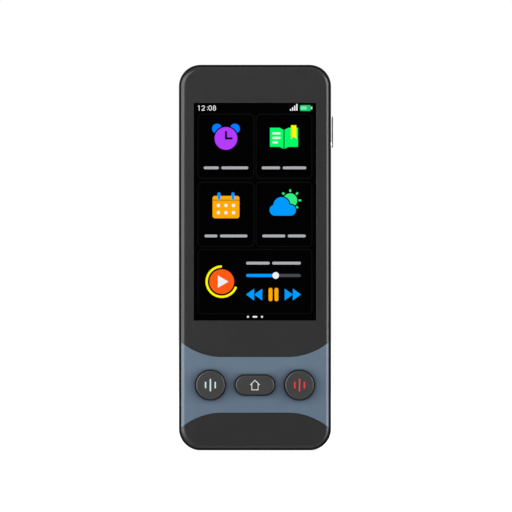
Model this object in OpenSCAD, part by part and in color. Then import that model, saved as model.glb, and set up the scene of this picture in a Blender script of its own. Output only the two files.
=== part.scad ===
// Handheld translator: a touch-screen device with three front keys and a side power key.
// It stands upright on its bottom end: X across, Y from the front (-Y) to the back, Z along its length.
// Every module is drawn lying on its back, with x across, y along the length from the bottom end and
// z up from the back plane, and stand() then sets it upright. All sizes are in millimetres.

/* [Body] */
// Width of the body
body_w = 54.3; // [52:0.1:62]
// Length of the body, which is its height when it stands
body_l = 137.6; // [136:0.1:150]
// Thickness of the body from the back plane to the front panels
body_t = 13.4; // [13.2:0.1:15]
// Corner radius of the outline
corner_r = 7.7; // [7:0.1:9]
// Wall of the middle frame
frame_wall = 1.5; // [1.3:0.05:1.8]
// Height of the parting line between the rear cover and the frame
parting_h = 3.6; // [3.4:0.1:3.9]
// Reveal left open at the parting line
parting_gap = 0.12; // [0.08:0.01:0.2]
// Edge radius round the back
back_edge_r = 3.2; // [2.4:0.1:3.3]
// Wall and floor of the rear cover
back_wall = 1.4; // [1.2:0.05:1.6]

/* [Front panels] */
// Width of the frame's rim round the front panels
rim_w = 0.77; // [0.6:0.01:0.9]
// Edge radius of that rim
rim_edge_r = 0.5; // [0.3:0.05:0.5]
// Gap between the rim and the front panels
rim_gap = 0.08; // [0.05:0.01:0.15]
// Thickness of the front panels
panel_t = 1.8; // [1.7:0.05:2]
// Width of the curved edge of the front panels
bevel_w = 1.24; // [1:0.02:1.6]
// Radius of that curved edge
bevel_r = 1.78; // [1.7:0.02:2.6]
// Drop of the rim below the front panels
rim_drop = 0.5; // [0.4:0.01:0.6]
// Adhesive tape under the front panels
tape_t = 0.15; // [0.1:0.01:0.2]
// Gap at the seams between the front panels
seam_gap = 0.1; // [0.06:0.01:0.16]
// Chamfer along the seams of the key band
seam_chamfer = 0.14; // [0.08:0.01:0.2]
// Height of the key band's lower seam above the bottom end, at the middle
band_low_y = 13.3; // [12.8:0.1:13.6]
// Height of its upper seam above the bottom end, at the middle
band_high_y = 33.4; // [33:0.1:34]
// Length of the straight middle of each seam
seam_flat_w = 23.6; // [20:0.1:26]
// Radius of the arcs on either side of it
seam_r = 22.5; // [20:0.5:26]

/* [Display] */
// Width of the visible glass
screen_w = 43.5; // [42:0.1:45]
// Length of the visible glass
screen_l = 77.5; // [75:0.1:79]
// Height of its lower edge above the bottom end
screen_y = 46.4; // [46:0.1:48]
// Thickness of the touch glass
glass_t = 1; // [0.8:0.05:1.1]
// Depth of the glass below the front panel
glass_recess = 0.05; // [0:0.01:0.1]
// Gap round the glass
glass_gap = 0.08; // [0.05:0.01:0.15]
// Chamfer of the window in the front panel
window_chamfer = 0.12; // [0.06:0.01:0.2]
// Border of the display cell beyond the glass, at the sides and the top
cell_border = 1.4; // [1.2:0.05:1.6]
// Border of the display cell below the glass, for its driver
cell_foot = 3.6; // [3.2:0.1:4]
// Thickness of the display cell
cell_t = 1.5; // [1.3:0.05:1.6]
// Foam gasket between the cell and the front panel
gasket_t = 0.15; // [0.1:0.01:0.2]
// Sheet metal of the backlight tray
tray_t = 0.2; // [0.15:0.01:0.25]
// Foam pad behind the tray
foam_t = 0.3; // [0.2:0.05:0.4]
// Clearance between the tray and the frame's display bay
bay_gap = 0.6; // [0.4:0.05:0.8]
// Thickness of the frame's middle plate
plate_t = 0.8; // [0.7:0.05:1]

/* [Front keys] */
// Height of the three keys above the bottom end
key_y = 23.3; // [23.1:0.1:23.6]
// Distance of the talk keys from the middle
talk_key_x = 15.9; // [15.6:0.1:16.4]
// Diameter of the talk keys
talk_key_d = 10.35; // [9.8:0.05:10.6]
// Width of the home key
home_key_w = 13.9; // [13.5:0.1:14.6]
// Height of the home key, which has round ends
home_key_l = 6.9; // [6.5:0.1:7.6]
// Gap round each key
key_gap = 0.38; // [0.3:0.01:0.5]
// How far the keys stand proud of the band
key_proud = 0.7; // [0.5:0.05:0.9]
// Edge radius of the keys
key_edge_r = 0.45; // [0.4:0.05:0.7]
// Travel of the keys
key_travel = 0.4; // [0.3:0.05:0.4]
// Width of the flange that holds each key under the band
key_flange_w = 0.5; // [0.4:0.05:0.6]
// Diameter of the plunger under each key
plunger_d = 3; // [2.6:0.1:3.4]
// Wall of the moulded keys
key_wall = 0.9; // [0.8:0.05:1.1]
// Silicone sheet between the keys and the plate
seal_t = 0.15; // [0.1:0.01:0.15]
// Diameter of the dome contacts
dome_d = 4; // [3.6:0.1:4.4]
// Height of the dome contacts
dome_h = 0.35; // [0.25:0.01:0.4]

/* [Power key] */
// Height of the power key's middle above the bottom end
power_y = 113.7; // [112:0.1:115]
// Height of its middle above the back plane
power_h = 6.6; // [6.4:0.1:6.8]
// Length of its cap
power_l = 11.2; // [10:0.1:12]
// Width of its cap
power_w = 2.7; // [2.4:0.1:3]
// Thickness of its cap
power_cap_t = 0.38; // [0.35:0.01:0.5]
// Height of its pale stem between the frame and the cap
power_stem_h = 0.38; // [0.34:0.01:0.42]
// How much shorter the stem is than the cap, at each end
power_overhang = 0.9; // [0.6:0.05:1.2]
// Travel of the power key
power_travel = 0.25; // [0.2:0.01:0.28]
// Thickness of its flange inside the frame
power_flange_t = 0.5; // [0.4:0.05:0.6]
// Thickness of the side switch
switch_t = 1.2; // [1:0.05:1.3]

/* [Boards and battery] */
// Thickness of the circuit boards
board_t = 1; // [0.8:0.05:1.1]
// Gap between the boards and the middle plate
board_gap = 0.45; // [0.4:0.01:0.5]
// Gap from the frame's side walls to the lower board
lower_board_gap = 3.15; // [2.8:0.05:3.6]
// Length of the lower board
lower_board_l = 34.2; // [33:0.1:35]
// Gap from the frame's side walls to the main board
main_board_gap = 5.15; // [4.9:0.05:5.6]
// Gap from the frame's end walls to the boards
board_end_gap = 1.3; // [1:0.1:1.6]
// Width of the battery
battery_w = 35; // [33:0.5:35.5]
// Length of the battery
battery_l = 50; // [47:0.5:52]
// Thickness of the battery
battery_t = 6.8; // [6:0.1:7]
// Adhesive pad between the battery and the plate
battery_pad_t = 0.15; // [0.1:0.01:0.2]
// Height of the shield cans
shield_h = 1.5; // [1.3:0.05:1.6]
// Width of the processor's shield can
processor_shield_w = 17; // [15:0.5:18]
// Width of the radio's shield can
radio_shield_w = 12; // [11:0.5:13]
// Length of the radio's shield can
radio_shield_l = 10; // [9:0.5:11]
// Width of the battery's socket
socket_w = 9; // [8:0.5:10]
// Length of the battery's socket
socket_l = 3; // [2.6:0.1:3.2]
// Length of the antenna strip
antenna_l = 18; // [15:0.5:20]
// Thickness of the flexible circuits
flex_t = 0.15; // [0.1:0.01:0.2]
// Diameter of the board screws
screw_d = 1.6; // [1.4:0.1:1.8]

/* [Sound] */
// Height of the loudspeaker's middle above the bottom end
speaker_y = 18.6; // [18:0.1:19]
// Width of the loudspeaker
speaker_w = 24; // [22:0.5:25]
// Length of the loudspeaker
speaker_l = 12; // [11:0.1:12.6]
// Thickness of the loudspeaker
speaker_t = 3.2; // [2.8:0.1:3.4]
// Gasket under the loudspeaker
speaker_gasket_t = 0.5; // [0.4:0.05:0.6]
// Width of the grille plate
grille_w = 20; // [18:0.5:21]
// Height of the grille plate, which has round ends
grille_l = 5.6; // [5:0.1:6]
// Thickness of the grille plate
grille_t = 0.5; // [0.4:0.05:0.6]
// Diameter of the grille's holes
grille_hole_d = 0.9; // [0.7:0.05:1]
// Spacing of the grille's holes
grille_pitch = 1.6; // [1.4:0.05:1.8]
// Diameter of the microphone holes
mic_hole_d = 1; // [0.8:0.05:1.2]
// Distance of the main microphone from the middle
main_mic_x = 13; // [12:0.1:14]
// Distance of the second microphone from the middle
top_mic_x = 7; // [6:0.1:7.5]
// Diameter of the vibration motor
motor_d = 8; // [7:0.1:8.2]

/* [Charging port] */
// Width of the port's shell
port_w = 8.94; // [8.9:0.01:9]
// Height of the port's shell
port_h = 3.2; // [3.1:0.01:3.26]
// Length of the port's shell
port_l = 7.3; // [7:0.1:7.6]
// Sheet metal of the port's shell
port_sheet = 0.3; // [0.25:0.01:0.35]
// Clearance of the frame's opening round the port
port_gap = 0.18; // [0.1:0.01:0.25]
// Depth of the port's mouth inside the bottom end
port_inset = 0.45; // [0.3:0.05:0.6]

/* [Camera] */
// Distance of the camera from the side of the body
camera_in = 12.65; // [12.2:0.05:13]
// Distance of the lens from the top end
camera_down = 12.1; // [11.8:0.1:12.6]
// Distance between the lens and the flash
flash_pitch = 11; // [10.4:0.1:11.4]
// Side of the camera module
camera_side = 8.5; // [8:0.1:8.6]
// Height of the camera module
camera_h = 5.1; // [4.8:0.1:5.3]
// Diameter of the lens window
lens_d = 6.5; // [6:0.1:7]
// Diameter of the flash lens
flash_d = 3.7; // [3.4:0.1:4]
// Width of the plate round the lens and the flash
camera_plate_w = 10; // [9.6:0.1:10.4]
// Thickness of that plate
camera_plate_t = 0.8; // [0.7:0.05:0.85]

/* [Hidden] */
$fn = 96;

// Clearances and small allowances
cut = 1; // how far a cutting solid runs past what it cuts
fit_gap = 0.05; // between pieces that seat on each other
slide_gap = 0.3; // between a moving piece and the walls beside it
snap_gap = 0.1; // between the rear cover's lip and the frame

// Heights above the back plane
rim_h = body_t - rim_drop;
panel_back_h = body_t - panel_t;
ledge_h = panel_back_h - tape_t;
glass_front_h = body_t - glass_recess;
cell_front_h = glass_front_h - glass_t;
pocket_h = cell_front_h + gasket_t;
cell_back_h = cell_front_h - cell_t;
plate_front_h = cell_back_h - tray_t - foam_t;
plate_back_h = plate_front_h - plate_t;
board_front_h = plate_back_h - board_gap;
board_back_h = board_front_h - board_t;
port_mid_h = board_back_h - port_h / 2;
mic_h = 1;

// Outlines
inner_w = body_w - 2 * frame_wall;
panel_inset = rim_w + rim_gap;
panel_w = body_w - 2 * panel_inset;
panel_l = body_l - 2 * panel_inset;
panel_r = corner_r - panel_inset;
bevel_drop = bevel_r - sqrt(pow(bevel_r, 2) - pow(bevel_w, 2));
mid_y = body_l / 2;

// Display stack
cell_w = screen_w + 2 * cell_border;
cell_l = screen_l + cell_border + cell_foot;
cell_mid_y = screen_y - cell_foot + cell_l / 2;
tray_w = cell_w + 2 * (tray_t + fit_gap);
tray_l = cell_l + 2 * (tray_t + fit_gap);
tray_low_y = cell_mid_y - tray_l / 2;
tray_high_y = cell_mid_y + tray_l / 2;
bay_inset = (body_w - tray_w) / 2 - bay_gap;
bar_w = 1.2;
bar_gap = 0.4;
seam_bar_w = 3;
display_flex_w = 14;
flex_lay_l = 7; // of the display's flexible circuit on the lower board
flex_slot_play = 1; // on either side of that circuit
flex_slot_low = 0.6; // below its bend, and above it
flex_slot_high = 0.2;
flex_bend_r = 0.8;
flex_slot_y = tray_low_y - bar_gap - bar_w - 2 * flex_bend_r - flex_t;

// Bars across the display bay, each with its middle and its width: one behind each seam of the key
// band, and one on either side of the display
bay_bars = [
    [band_low_y, seam_bar_w],
    [band_high_y, seam_bar_w],
    [tray_low_y - bar_gap - bar_w / 2, bar_w],
    [tray_high_y + bar_gap + bar_w / 2, bar_w],
];

// Keys
talk_key_r = talk_key_d / 2;
key_top_h = body_t + key_proud;
key_flange_low_h = plate_front_h + seal_t + key_travel + fit_gap;
dome_top_h = board_front_h + dome_h;
plunger_end_h = dome_top_h + key_travel + fit_gap;
plunger_hole_d = plunger_d + 2 * slide_gap;

// Power key, along x from the frame's right side
power_flange_x = body_w / 2 - frame_wall;
power_catch = 0.3; // of the flange beyond the slot
power_stem_w = power_w - 2 * fit_gap;
power_stem_l = power_l - 2 * power_overhang;
power_slot_w = power_stem_w + 2 * slide_gap;
power_slot_l = power_stem_l + 2 * slide_gap;
power_flange_w = power_slot_w + 2 * power_catch;
power_flange_l = power_slot_l + 2 * power_catch;
power_nub_l = 0.8;
nub_end_x = power_flange_x - power_flange_t - power_nub_l;
switch_tip_x = nub_end_x - power_travel - fit_gap;
switch_tip_l = 0.2;
switch_back_x = switch_tip_x - switch_tip_l - switch_t;
bracket_t = 0.4;
bracket_l = power_l + 6;
bracket_w = 3.2;
post_w = 2;

// Boards and battery
lower_board_w = inner_w - 2 * lower_board_gap;
main_board_w = inner_w - 2 * main_board_gap;
lower_board_y = frame_wall + board_end_gap;
lower_board_top = lower_board_y + lower_board_l;
battery_y = tray_low_y - bar_gap + 0.4;
battery_top = battery_y + battery_l;
battery_front_h = plate_back_h - battery_pad_t;
protect_gap = 0.3;
protect_l = 3;
main_board_y = battery_top + protect_gap + protect_l + 0.7;
main_board_top = body_l - frame_wall - board_end_gap;
main_board_l = main_board_top - main_board_y;
board_r = 3;
socket_h = 1.2;
socket_in = 3.5; // from the board's lower edge to the battery's socket
socket_y = main_board_y + socket_in + socket_l / 2;
tail_h = board_back_h - socket_h - flex_t;
tail_edge = 0.5; // of the socket, on either side of the battery's tail
tail_w = socket_w - 2 * tail_edge;
link_w = 2.6;
link_x = battery_w / 2 + 0.7;
link_overlap = 5.5;
screw_head_d = screw_d + 1;
screw_head_h = 0.8;
boss_d = screw_d + 1.8;
lower_screws = [
    [-lower_board_w / 2 + 3, lower_board_y + 5.2],
    [lower_board_w / 2 - 3, lower_board_y + 5.2],
    [-12, lower_board_top - 3],
    [12, lower_board_top - 3],
];
main_screws = [
    [-main_board_w / 2 + 5.5, main_board_y + 3],
    [main_board_w / 2 - 5.5, main_board_y + 3],
    [-main_board_w / 2 + 3.5, main_board_top - 3.5],
    [main_board_w / 2 - 5.5, main_board_top - 2.5],
];

// Shields and chips on the back of the main board. The processor's shield fills the length that the
// battery's socket and the radio's shield leave free.
shield_sheet = 0.2;
shield_edge = 1; // from the board's side to the processor's shield
shield_gap = 2.65; // between the two shields
shield_foot = 0.5; // from the socket to the processor's shield
shield_head = 3.6; // from the radio's shield to the board's upper edge
screw_clear = 1.2; // from a screw's head to the radio's shield
shield_low_y = socket_y + socket_l / 2 + shield_foot;
shield_high_y = main_board_top - shield_head;
processor_shield_l = shield_high_y - radio_shield_l - shield_gap - shield_low_y;
processor_place = [
    -main_board_w / 2 + shield_edge + processor_shield_w / 2,
    shield_low_y + processor_shield_l / 2,
];
radio_place = [
    main_screws[2][0] + screw_head_d / 2 + screw_clear + radio_shield_w / 2,
    shield_high_y - radio_shield_l / 2,
];
chip_h = 1;
chip_gap = 2.5; // between a chip and its shield
memory_w = 7;
memory_l = 6;
memory_side_gap = 4.5; // from the processor's shield
memory_foot = 3.5; // above that shield's lower edge
clock_side = 4;
clock_gap = 2.5; // from the memory
memory_place = [
    processor_place[0] + processor_shield_w / 2 + memory_side_gap + memory_w / 2,
    shield_low_y + memory_foot + memory_l / 2,
];
clock_place = [memory_place[0], memory_place[1] + memory_l / 2 + clock_gap + clock_side / 2];

// Sound
speaker_low_h = back_wall + speaker_gasket_t;
rib_t = 1;
grille_shelf = 1.1;
mic_w = 3.8;
mic_l = 3;
boot_wall = 0.6;
antenna_end_x = top_mic_x - mic_w / 2 - boot_wall - 2.5; // clear of the second microphone's boot
antenna_foot_w = 4;

// Camera
camera_x = body_w / 2 - camera_in;
camera_y = body_l - camera_down;
flash_y = camera_y - flash_pitch;
camera_plate_l = flash_pitch + camera_plate_w;
camera_front_h = back_wall + fit_gap;
camera_back_h = camera_front_h + camera_h;
barrel_h = 1.2;
lens_shelf = 0.4; // of the rear cover's floor under each lens
flash_board_h = back_wall + fit_gap + 0.8;

// Snap fit of the rear cover
lip_t = 1;
lip_h = 1.2;
hook_d = 0.4;
hook_h = 0.6;
hook_l = 6;
low_hook_y = 34;
lip_opening_l = power_flange_l + 2; // beside the power key
high_hook_y = power_y - lip_opening_l / 2 - 0.5 - hook_l / 2;

// ---- Helpers ----

// Sets a piece drawn lying on its back upright on its bottom end
module stand() {
    translate([0, body_t / 2, 0]) rotate([90, 0, 0]) children();
}

module rounded_rect(w, l, r) {
    square([w - 2 * r, l], center = true);
    square([w, l - 2 * r], center = true);
    for (sx = [-1, 1], sy = [-1, 1])
        translate([sx * (w / 2 - r), sy * (l / 2 - r)]) circle(r);
}

// A shape with round ends, along its longer side
module pill(w, l) {
    r = min(w, l) / 2;
    square([w > l ? w - 2 * r : w, w > l ? l : l - 2 * r], center = true);
    for (side = [-1, 1])
        translate(w > l ? [side * (w / 2 - r), 0] : [0, side * (l / 2 - r)]) circle(r);
}

module prism(low_h, high_h) {
    translate([0, 0, low_h]) linear_extrude(high_h - low_h) children();
}

// The body's outline, moved in by inset, as a solid between two heights
module body_prism(inset, low_h, high_h) {
    translate([0, mid_y, 0])
        prism(low_h, high_h) rounded_rect(body_w - 2 * inset, body_l - 2 * inset, corner_r - inset);
}

// Sweeps an edge profile round a rectangle with round corners. The profile's x runs outwards from the
// corner's centre, and its y is the height.
module sweep_round(w, l, r) {
    half_x = w / 2 - r;
    half_y = l / 2 - r;
    for (sx = [-1, 1], sy = [-1, 1])
        translate([sx * half_x, sy * half_y, 0])
            rotate([0, 0, sx > 0 ? (sy > 0 ? 0 : 270) : (sy > 0 ? 90 : 180)])
                rotate_extrude(angle = 90) children();
    for (turn = [0 : 3])
        rotate([0, 0, 90 * turn])
            translate([turn % 2 == 0 ? half_x : half_y, 0, 0])
                rotate([90, 0, 0])
                    linear_extrude(2 * (turn % 2 == 0 ? half_y : half_x), center = true) children();
}

// A solid slab with round corners and the given edge profile
module slab(w, l, r, low_h, high_h) {
    sweep_round(w, l, r) children();
    prism(low_h, high_h) square([w - 2 * r, l - 2 * r], center = true);
}

// An edge profile of radius r whose upper outer corner is rounded
module rounded_profile(r, low_h, high_h, edge_r) {
    translate([0, low_h]) square([r - edge_r, high_h - low_h]);
    translate([r - edge_r, low_h]) square([edge_r, high_h - low_h - edge_r]);
    intersection() {
        translate([r - edge_r, high_h - edge_r]) circle(edge_r);
        translate([r - edge_r, high_h - edge_r]) square(edge_r);
    }
}

// Everything above the key band's upper seam, moved off the seam by gap
module upper_zone(gap) {
    for (side = [-1, 1])
        translate([side * seam_flat_w / 2, band_high_y + seam_r]) circle(seam_r - gap);
    translate([-seam_flat_w / 2, band_high_y + gap]) square([seam_flat_w, seam_r]);
    translate([-body_w, band_high_y + 0.8 * seam_r]) square([2 * body_w, body_l]);
}

// Everything below the key band's lower seam, moved off the seam by gap
module lower_zone(gap) {
    for (side = [-1, 1])
        translate([side * seam_flat_w / 2, band_low_y - seam_r]) circle(seam_r - gap);
    translate([-seam_flat_w / 2, band_low_y - gap - seam_r]) square([seam_flat_w, seam_r]);
}

// A flared cutter that chamfers the band along one seam: way is 1 at the upper seam and -1 at the lower
module seam_flare(seam_y, way) {
    low_h = body_t - seam_chamfer;
    edge = seam_gap / 2;
    flare = seam_chamfer + cut;
    for (side = [-1, 1])
        translate([side * seam_flat_w / 2, seam_y + way * seam_r, low_h])
            cylinder(h = flare, r1 = seam_r + edge, r2 = seam_r + edge + flare);
    translate([-seam_flat_w / 2, seam_y, low_h])
        rotate([90, 0, 90])
            linear_extrude(seam_flat_w)
                polygon([
                    [-way * edge, 0], [-way * (edge + flare), flare],
                    [way * seam_r, flare], [way * seam_r, 0],
                ]);
}

// The slab that the three front panels are cut from, with one curved edge all round
module front_slab() {
    translate([0, mid_y, 0])
        slab(panel_w, panel_l, panel_r, panel_back_h, body_t)
            translate([0, panel_back_h]) {
                square([panel_r - bevel_w, panel_t]);
                square([panel_r, panel_t - bevel_drop - fit_gap]);
                intersection() {
                    translate([panel_r - bevel_w, panel_t - bevel_r]) circle(bevel_r);
                    translate([panel_r - bevel_w, max(0, panel_t - bevel_r)]) square([bevel_w, panel_t]);
                }
            }
}

// A hook of the rear cover's snap fit, or with a clearance the groove for it, on the side at +x
module hook(gap) {
    root = cut / 2;
    translate([
        inner_w / 2 - snap_gap - gap - root,
        -hook_l / 2 - gap,
        parting_h + lip_h - hook_h - gap,
    ])
        cube([hook_d + 2 * gap + root, hook_l + 2 * gap, hook_h + 2 * gap]);
}

// Places its children at every hook: three on each long side and one at the top end
module at_hooks() {
    for (side = [0, 1], y = [low_hook_y, (low_hook_y + high_hook_y) / 2, high_hook_y])
        translate([0, y, 0]) mirror([side, 0, 0]) children();
    translate([-inner_w / 2 * 0.5, body_l - frame_wall - inner_w / 2, 0]) rotate([0, 0, 90]) children();
}

module screw_holes(places, d, low_h, high_h) {
    for (place = places)
        translate([place[0], place[1], low_h]) cylinder(h = high_h - low_h, d = d);
}

// ---- Casing ----

module rear_cover() color("#2b2b2d") stand() {
    difference() {
        union() {
            difference() {
                translate([0, mid_y, parting_h])
                    mirror([0, 0, 1])
                        slab(body_w, body_l, corner_r, 0, parting_h)
                            rounded_profile(corner_r, 0, parting_h, back_edge_r);
                body_prism(frame_wall + snap_gap + lip_t, back_wall, parting_h + cut);
            }
            cover_lip();
            cover_ribs();
        }
        camera_cuts();
        grille_cuts();
    }
}

// The lip that enters the frame, with its hooks, left open beside the charging port and the power key
module cover_lip() {
    difference() {
        body_prism(frame_wall + snap_gap, back_wall, parting_h + lip_h);
        body_prism(frame_wall + snap_gap + lip_t, back_wall - cut, parting_h + lip_h + cut);
        translate([-port_w / 2 - 1.5, 0, parting_h]) cube([port_w + 3, 5, lip_h + cut]);
        translate([body_w / 2 - 5, power_y - lip_opening_l / 2, parting_h])
            cube([5, lip_opening_l, lip_h + cut]);
    }
    intersection() {
        at_hooks() hook(0);
        body_prism(frame_wall - hook_d, back_wall, body_t);
    }
}

// Ribs moulded on the floor: round the loudspeaker, beside the battery and round the camera
module cover_ribs() {
    rib_gap = 0.15;
    rib_out = rib_gap + rib_t;
    speaker_rib_h = speaker_low_h + speaker_t / 2;
    translate([0, speaker_y, 0])
        difference() {
            prism(back_wall, speaker_rib_h)
                square([speaker_w + 2 * rib_out, speaker_l + 2 * rib_out], center = true);
            prism(back_wall - cut, speaker_rib_h + cut)
                square([speaker_w + 2 * rib_gap, speaker_l + 2 * rib_gap], center = true);
        }
    battery_floor_h = battery_front_h - battery_t;
    for (side = [-1, 1])
        translate([side * (battery_w / 2 + rib_gap + rib_t / 2), battery_y + battery_l / 2, back_wall])
            linear_extrude(battery_floor_h + 1 - back_wall)
                square([rib_t, battery_l - 8], center = true);
    for (share = [0.15, 0.5, 0.85])
        translate([0, battery_y + battery_l * share, back_wall])
            linear_extrude(battery_floor_h - back_wall - 0.3)
                square([battery_w, rib_t], center = true);
    camera_rib_h = camera_front_h + barrel_h + 1;
    translate([camera_x, camera_y, 0])
        difference() {
            prism(back_wall, camera_rib_h) square(camera_side + 2 * rib_out, center = true);
            prism(back_wall - cut, camera_rib_h + cut)
                square(camera_side + 2 * rib_gap, center = true);
        }
    for (side = [-1, 1])
        translate([camera_x + side * 2.5, flash_y, back_wall])
            linear_extrude(flash_board_h - back_wall) square([1, 5], center = true);
}

module camera_cuts() {
    plate_mid_y = (camera_y + flash_y) / 2;
    translate([camera_x, plate_mid_y, 0])
        prism(-cut, camera_plate_t) pill(camera_plate_w + 2 * fit_gap, camera_plate_l + 2 * fit_gap);
    translate([camera_x, camera_y, -cut]) cylinder(h = back_wall + 2 * cut, d = lens_d - 2 * lens_shelf);
    translate([camera_x, flash_y, -cut]) cylinder(h = back_wall + 2 * cut, d = flash_d - 2 * lens_shelf);
}

module grille_cuts() {
    translate([0, speaker_y, 0]) {
        prism(-cut, grille_t) pill(grille_w + 2 * fit_gap, grille_l + 2 * fit_gap);
        prism(-cut, back_wall + cut) pill(grille_w - 2 * grille_shelf, grille_l - 2 * grille_shelf);
    }
}

module mid_frame() color("#1d1d1f") stand() {
    difference() {
        union() {
            frame_shell();
            frame_bars();
            for (place = concat(lower_screws, main_screws))
                translate([place[0], place[1], board_front_h])
                    cylinder(h = board_gap + plate_t / 2, d = boss_d);
            switch_posts();
        }
        screw_holes(
            concat(lower_screws, main_screws), screw_d + 0.1, board_front_h - cut, plate_front_h - 0.2
        );
        for (x = [-talk_key_x, 0, talk_key_x])
            translate([x, key_y, plate_back_h - cut]) cylinder(h = plate_t + 2 * cut, d = plunger_hole_d);
        display_slot();
        port_opening();
        mic_holes();
        power_slot();
        at_hooks() hook(snap_gap);
    }
}

// Outer ring with its rim, the rear bay, the middle plate, the display bay and the ledge for the panels
module frame_shell() {
    low_h = parting_h + parting_gap;
    difference() {
        translate([0, mid_y, 0])
            slab(body_w, body_l, corner_r, low_h, rim_h)
                rounded_profile(corner_r, low_h, rim_h, rim_edge_r);
        body_prism(frame_wall, low_h - cut, plate_back_h);
        body_prism(bay_inset, plate_front_h, rim_h + cut);
        body_prism(rim_w, ledge_h, rim_h + cut);
    }
}

// Bars across the display bay that carry the front panels, rooted in the plate
module frame_bars() {
    bar_l = body_w - 2 * bay_inset + 1;
    root_h = plate_front_h - plate_t / 2;
    for (bar = bay_bars)
        translate([-bar_l / 2, bar[0] - bar[1] / 2, root_h]) cube([bar_l, bar[1], ledge_h - root_h]);
}

module display_slot() {
    slot_w = display_flex_w + 2 * flex_slot_play;
    slot_l = flex_slot_low + 2 * flex_bend_r + flex_t + flex_slot_high;
    translate([-slot_w / 2, flex_slot_y - flex_slot_low, plate_back_h - cut])
        cube([slot_w, slot_l, plate_t + 2 * cut]);
    translate([-slot_w / 2, flex_slot_y, plate_front_h])
        cube([slot_w, tray_low_y - flex_slot_y, ledge_h - plate_front_h + cut]);
}

module port_opening() {
    translate([0, frame_wall + cut, port_mid_h])
        rotate([90, 0, 0])
            linear_extrude(frame_wall + 2 * cut) pill(port_w + 2 * port_gap, port_h + 2 * port_gap);
}

module mic_holes() {
    for (place = [[main_mic_x, -cut], [top_mic_x, body_l - frame_wall - cut]])
        translate([place[0], place[1], port_mid_h])
            rotate([-90, 0, 0]) cylinder(h = frame_wall + 2 * cut, d = mic_hole_d);
}

module power_slot() {
    translate([body_w / 2 - frame_wall - cut, power_y, power_h])
        rotate([90, 0, 90])
            linear_extrude(frame_wall + 2 * cut) pill(power_slot_l, power_slot_w);
}

// Posts under the plate that hold the ends of the switch bracket
module switch_posts() {
    for (side = [-1, 1])
        difference() {
            translate([
                switch_back_x - bracket_t - 0.9,
                power_y + side * (bracket_l / 2 + 0.2) - post_w / 2,
                power_h - bracket_w / 2,
            ])
                cube([bracket_t + 1.8, post_w, plate_back_h + plate_t / 2 - power_h + bracket_w / 2]);
            translate([
                switch_back_x - bracket_t - fit_gap,
                power_y - bracket_l / 2 - fit_gap,
                power_h - bracket_w / 2 - cut,
            ])
                cube([bracket_t + 2 * fit_gap, bracket_l + 2 * fit_gap, bracket_w + cut]);
        }
}

// ---- Front panels ----

module front_cover() color("#343434") stand() {
    window_y = screen_y + screen_l / 2;
    window_w = screen_w + 2 * glass_gap;
    window_l = screen_l + 2 * glass_gap;
    difference() {
        intersection() {
            front_slab();
            prism(panel_back_h - cut, body_t + cut) upper_zone(seam_gap / 2);
        }
        translate([0, window_y, 0])
            prism(panel_back_h - cut, body_t + cut) square([window_w, window_l], center = true);
        translate([0, cell_mid_y, 0])
            prism(panel_back_h - cut, pocket_h)
                square([cell_w + 2 * bay_gap, cell_l + 2 * bay_gap], center = true);
        translate([0, window_y, body_t - window_chamfer]) flared_window(window_w, window_l);
    }
}

// The chamfer of the window: two crossed prisms whose sides lean out at 45 degrees
module flared_window(w, l) {
    flare = window_chamfer + cut;
    intersection() {
        rotate([90, 0, 0])
            linear_extrude(l + 2 * flare, center = true) flare_section(w, flare);
        rotate([90, 0, 90])
            linear_extrude(w + 2 * flare, center = true) flare_section(l, flare);
    }
}

module flare_section(width, flare) {
    polygon([
        [-width / 2, 0], [width / 2, 0],
        [width / 2 + flare, flare], [-width / 2 - flare, flare],
    ]);
}

module key_band() color("#647585") stand() {
    difference() {
        front_slab();
        prism(panel_back_h - cut, body_t + cut) upper_zone(-seam_gap / 2);
        prism(panel_back_h - cut, body_t + cut) lower_zone(-seam_gap / 2);
        seam_flare(band_high_y, 1);
        seam_flare(band_low_y, -1);
        for (x = [-talk_key_x, talk_key_x])
            translate([x, key_y, panel_back_h - cut])
                cylinder(h = panel_t + 2 * cut, d = talk_key_d + 2 * key_gap);
        translate([0, key_y, 0])
            prism(panel_back_h - cut, body_t + cut)
                pill(home_key_w + 2 * key_gap, home_key_l + 2 * key_gap);
    }
}

module chin_panel() color("#323232") stand() {
    intersection() {
        front_slab();
        prism(panel_back_h - cut, body_t + cut) lower_zone(seam_gap / 2);
    }
}

// Adhesive on the frame's ledge and on its bars
module panel_tape() color("#101010") stand() {
    tape_inset = panel_inset + 0.3;
    bar_l = body_w - 2 * bay_inset + 1;
    difference() {
        union() {
            difference() {
                body_prism(tape_inset, ledge_h, panel_back_h);
                body_prism(bay_inset - 0.01, ledge_h - cut, panel_back_h + cut);
            }
            for (bar = bay_bars)
                translate([-bar_l / 2, bar[0] - bar[1] / 2, ledge_h]) cube([bar_l, bar[1], tape_t]);
        }
        display_slot();
        translate([0, cell_mid_y, 0])
            prism(ledge_h - cut, panel_back_h + cut) square([tray_w + 0.1, tray_l + 0.1], center = true);
    }
}

// ---- Display ----

module touch_glass() color("#050505") stand() {
    translate([0, screen_y + screen_l / 2, 0])
        prism(cell_front_h, glass_front_h) square([screen_w, screen_l], center = true);
}

module display_gasket() color("#161616") stand() {
    difference() {
        translate([0, cell_mid_y, 0])
            prism(cell_front_h, pocket_h) square([cell_w, cell_l], center = true);
        translate([0, screen_y + screen_l / 2, 0])
            prism(cell_front_h - cut, pocket_h + cut)
                square([screen_w + 2 * glass_gap, screen_l + 2 * glass_gap], center = true);
    }
}

module display_cell() color("#0b0d12") stand() {
    translate([0, cell_mid_y, 0])
        prism(cell_back_h, cell_front_h) square([cell_w, cell_l], center = true);
}

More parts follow.
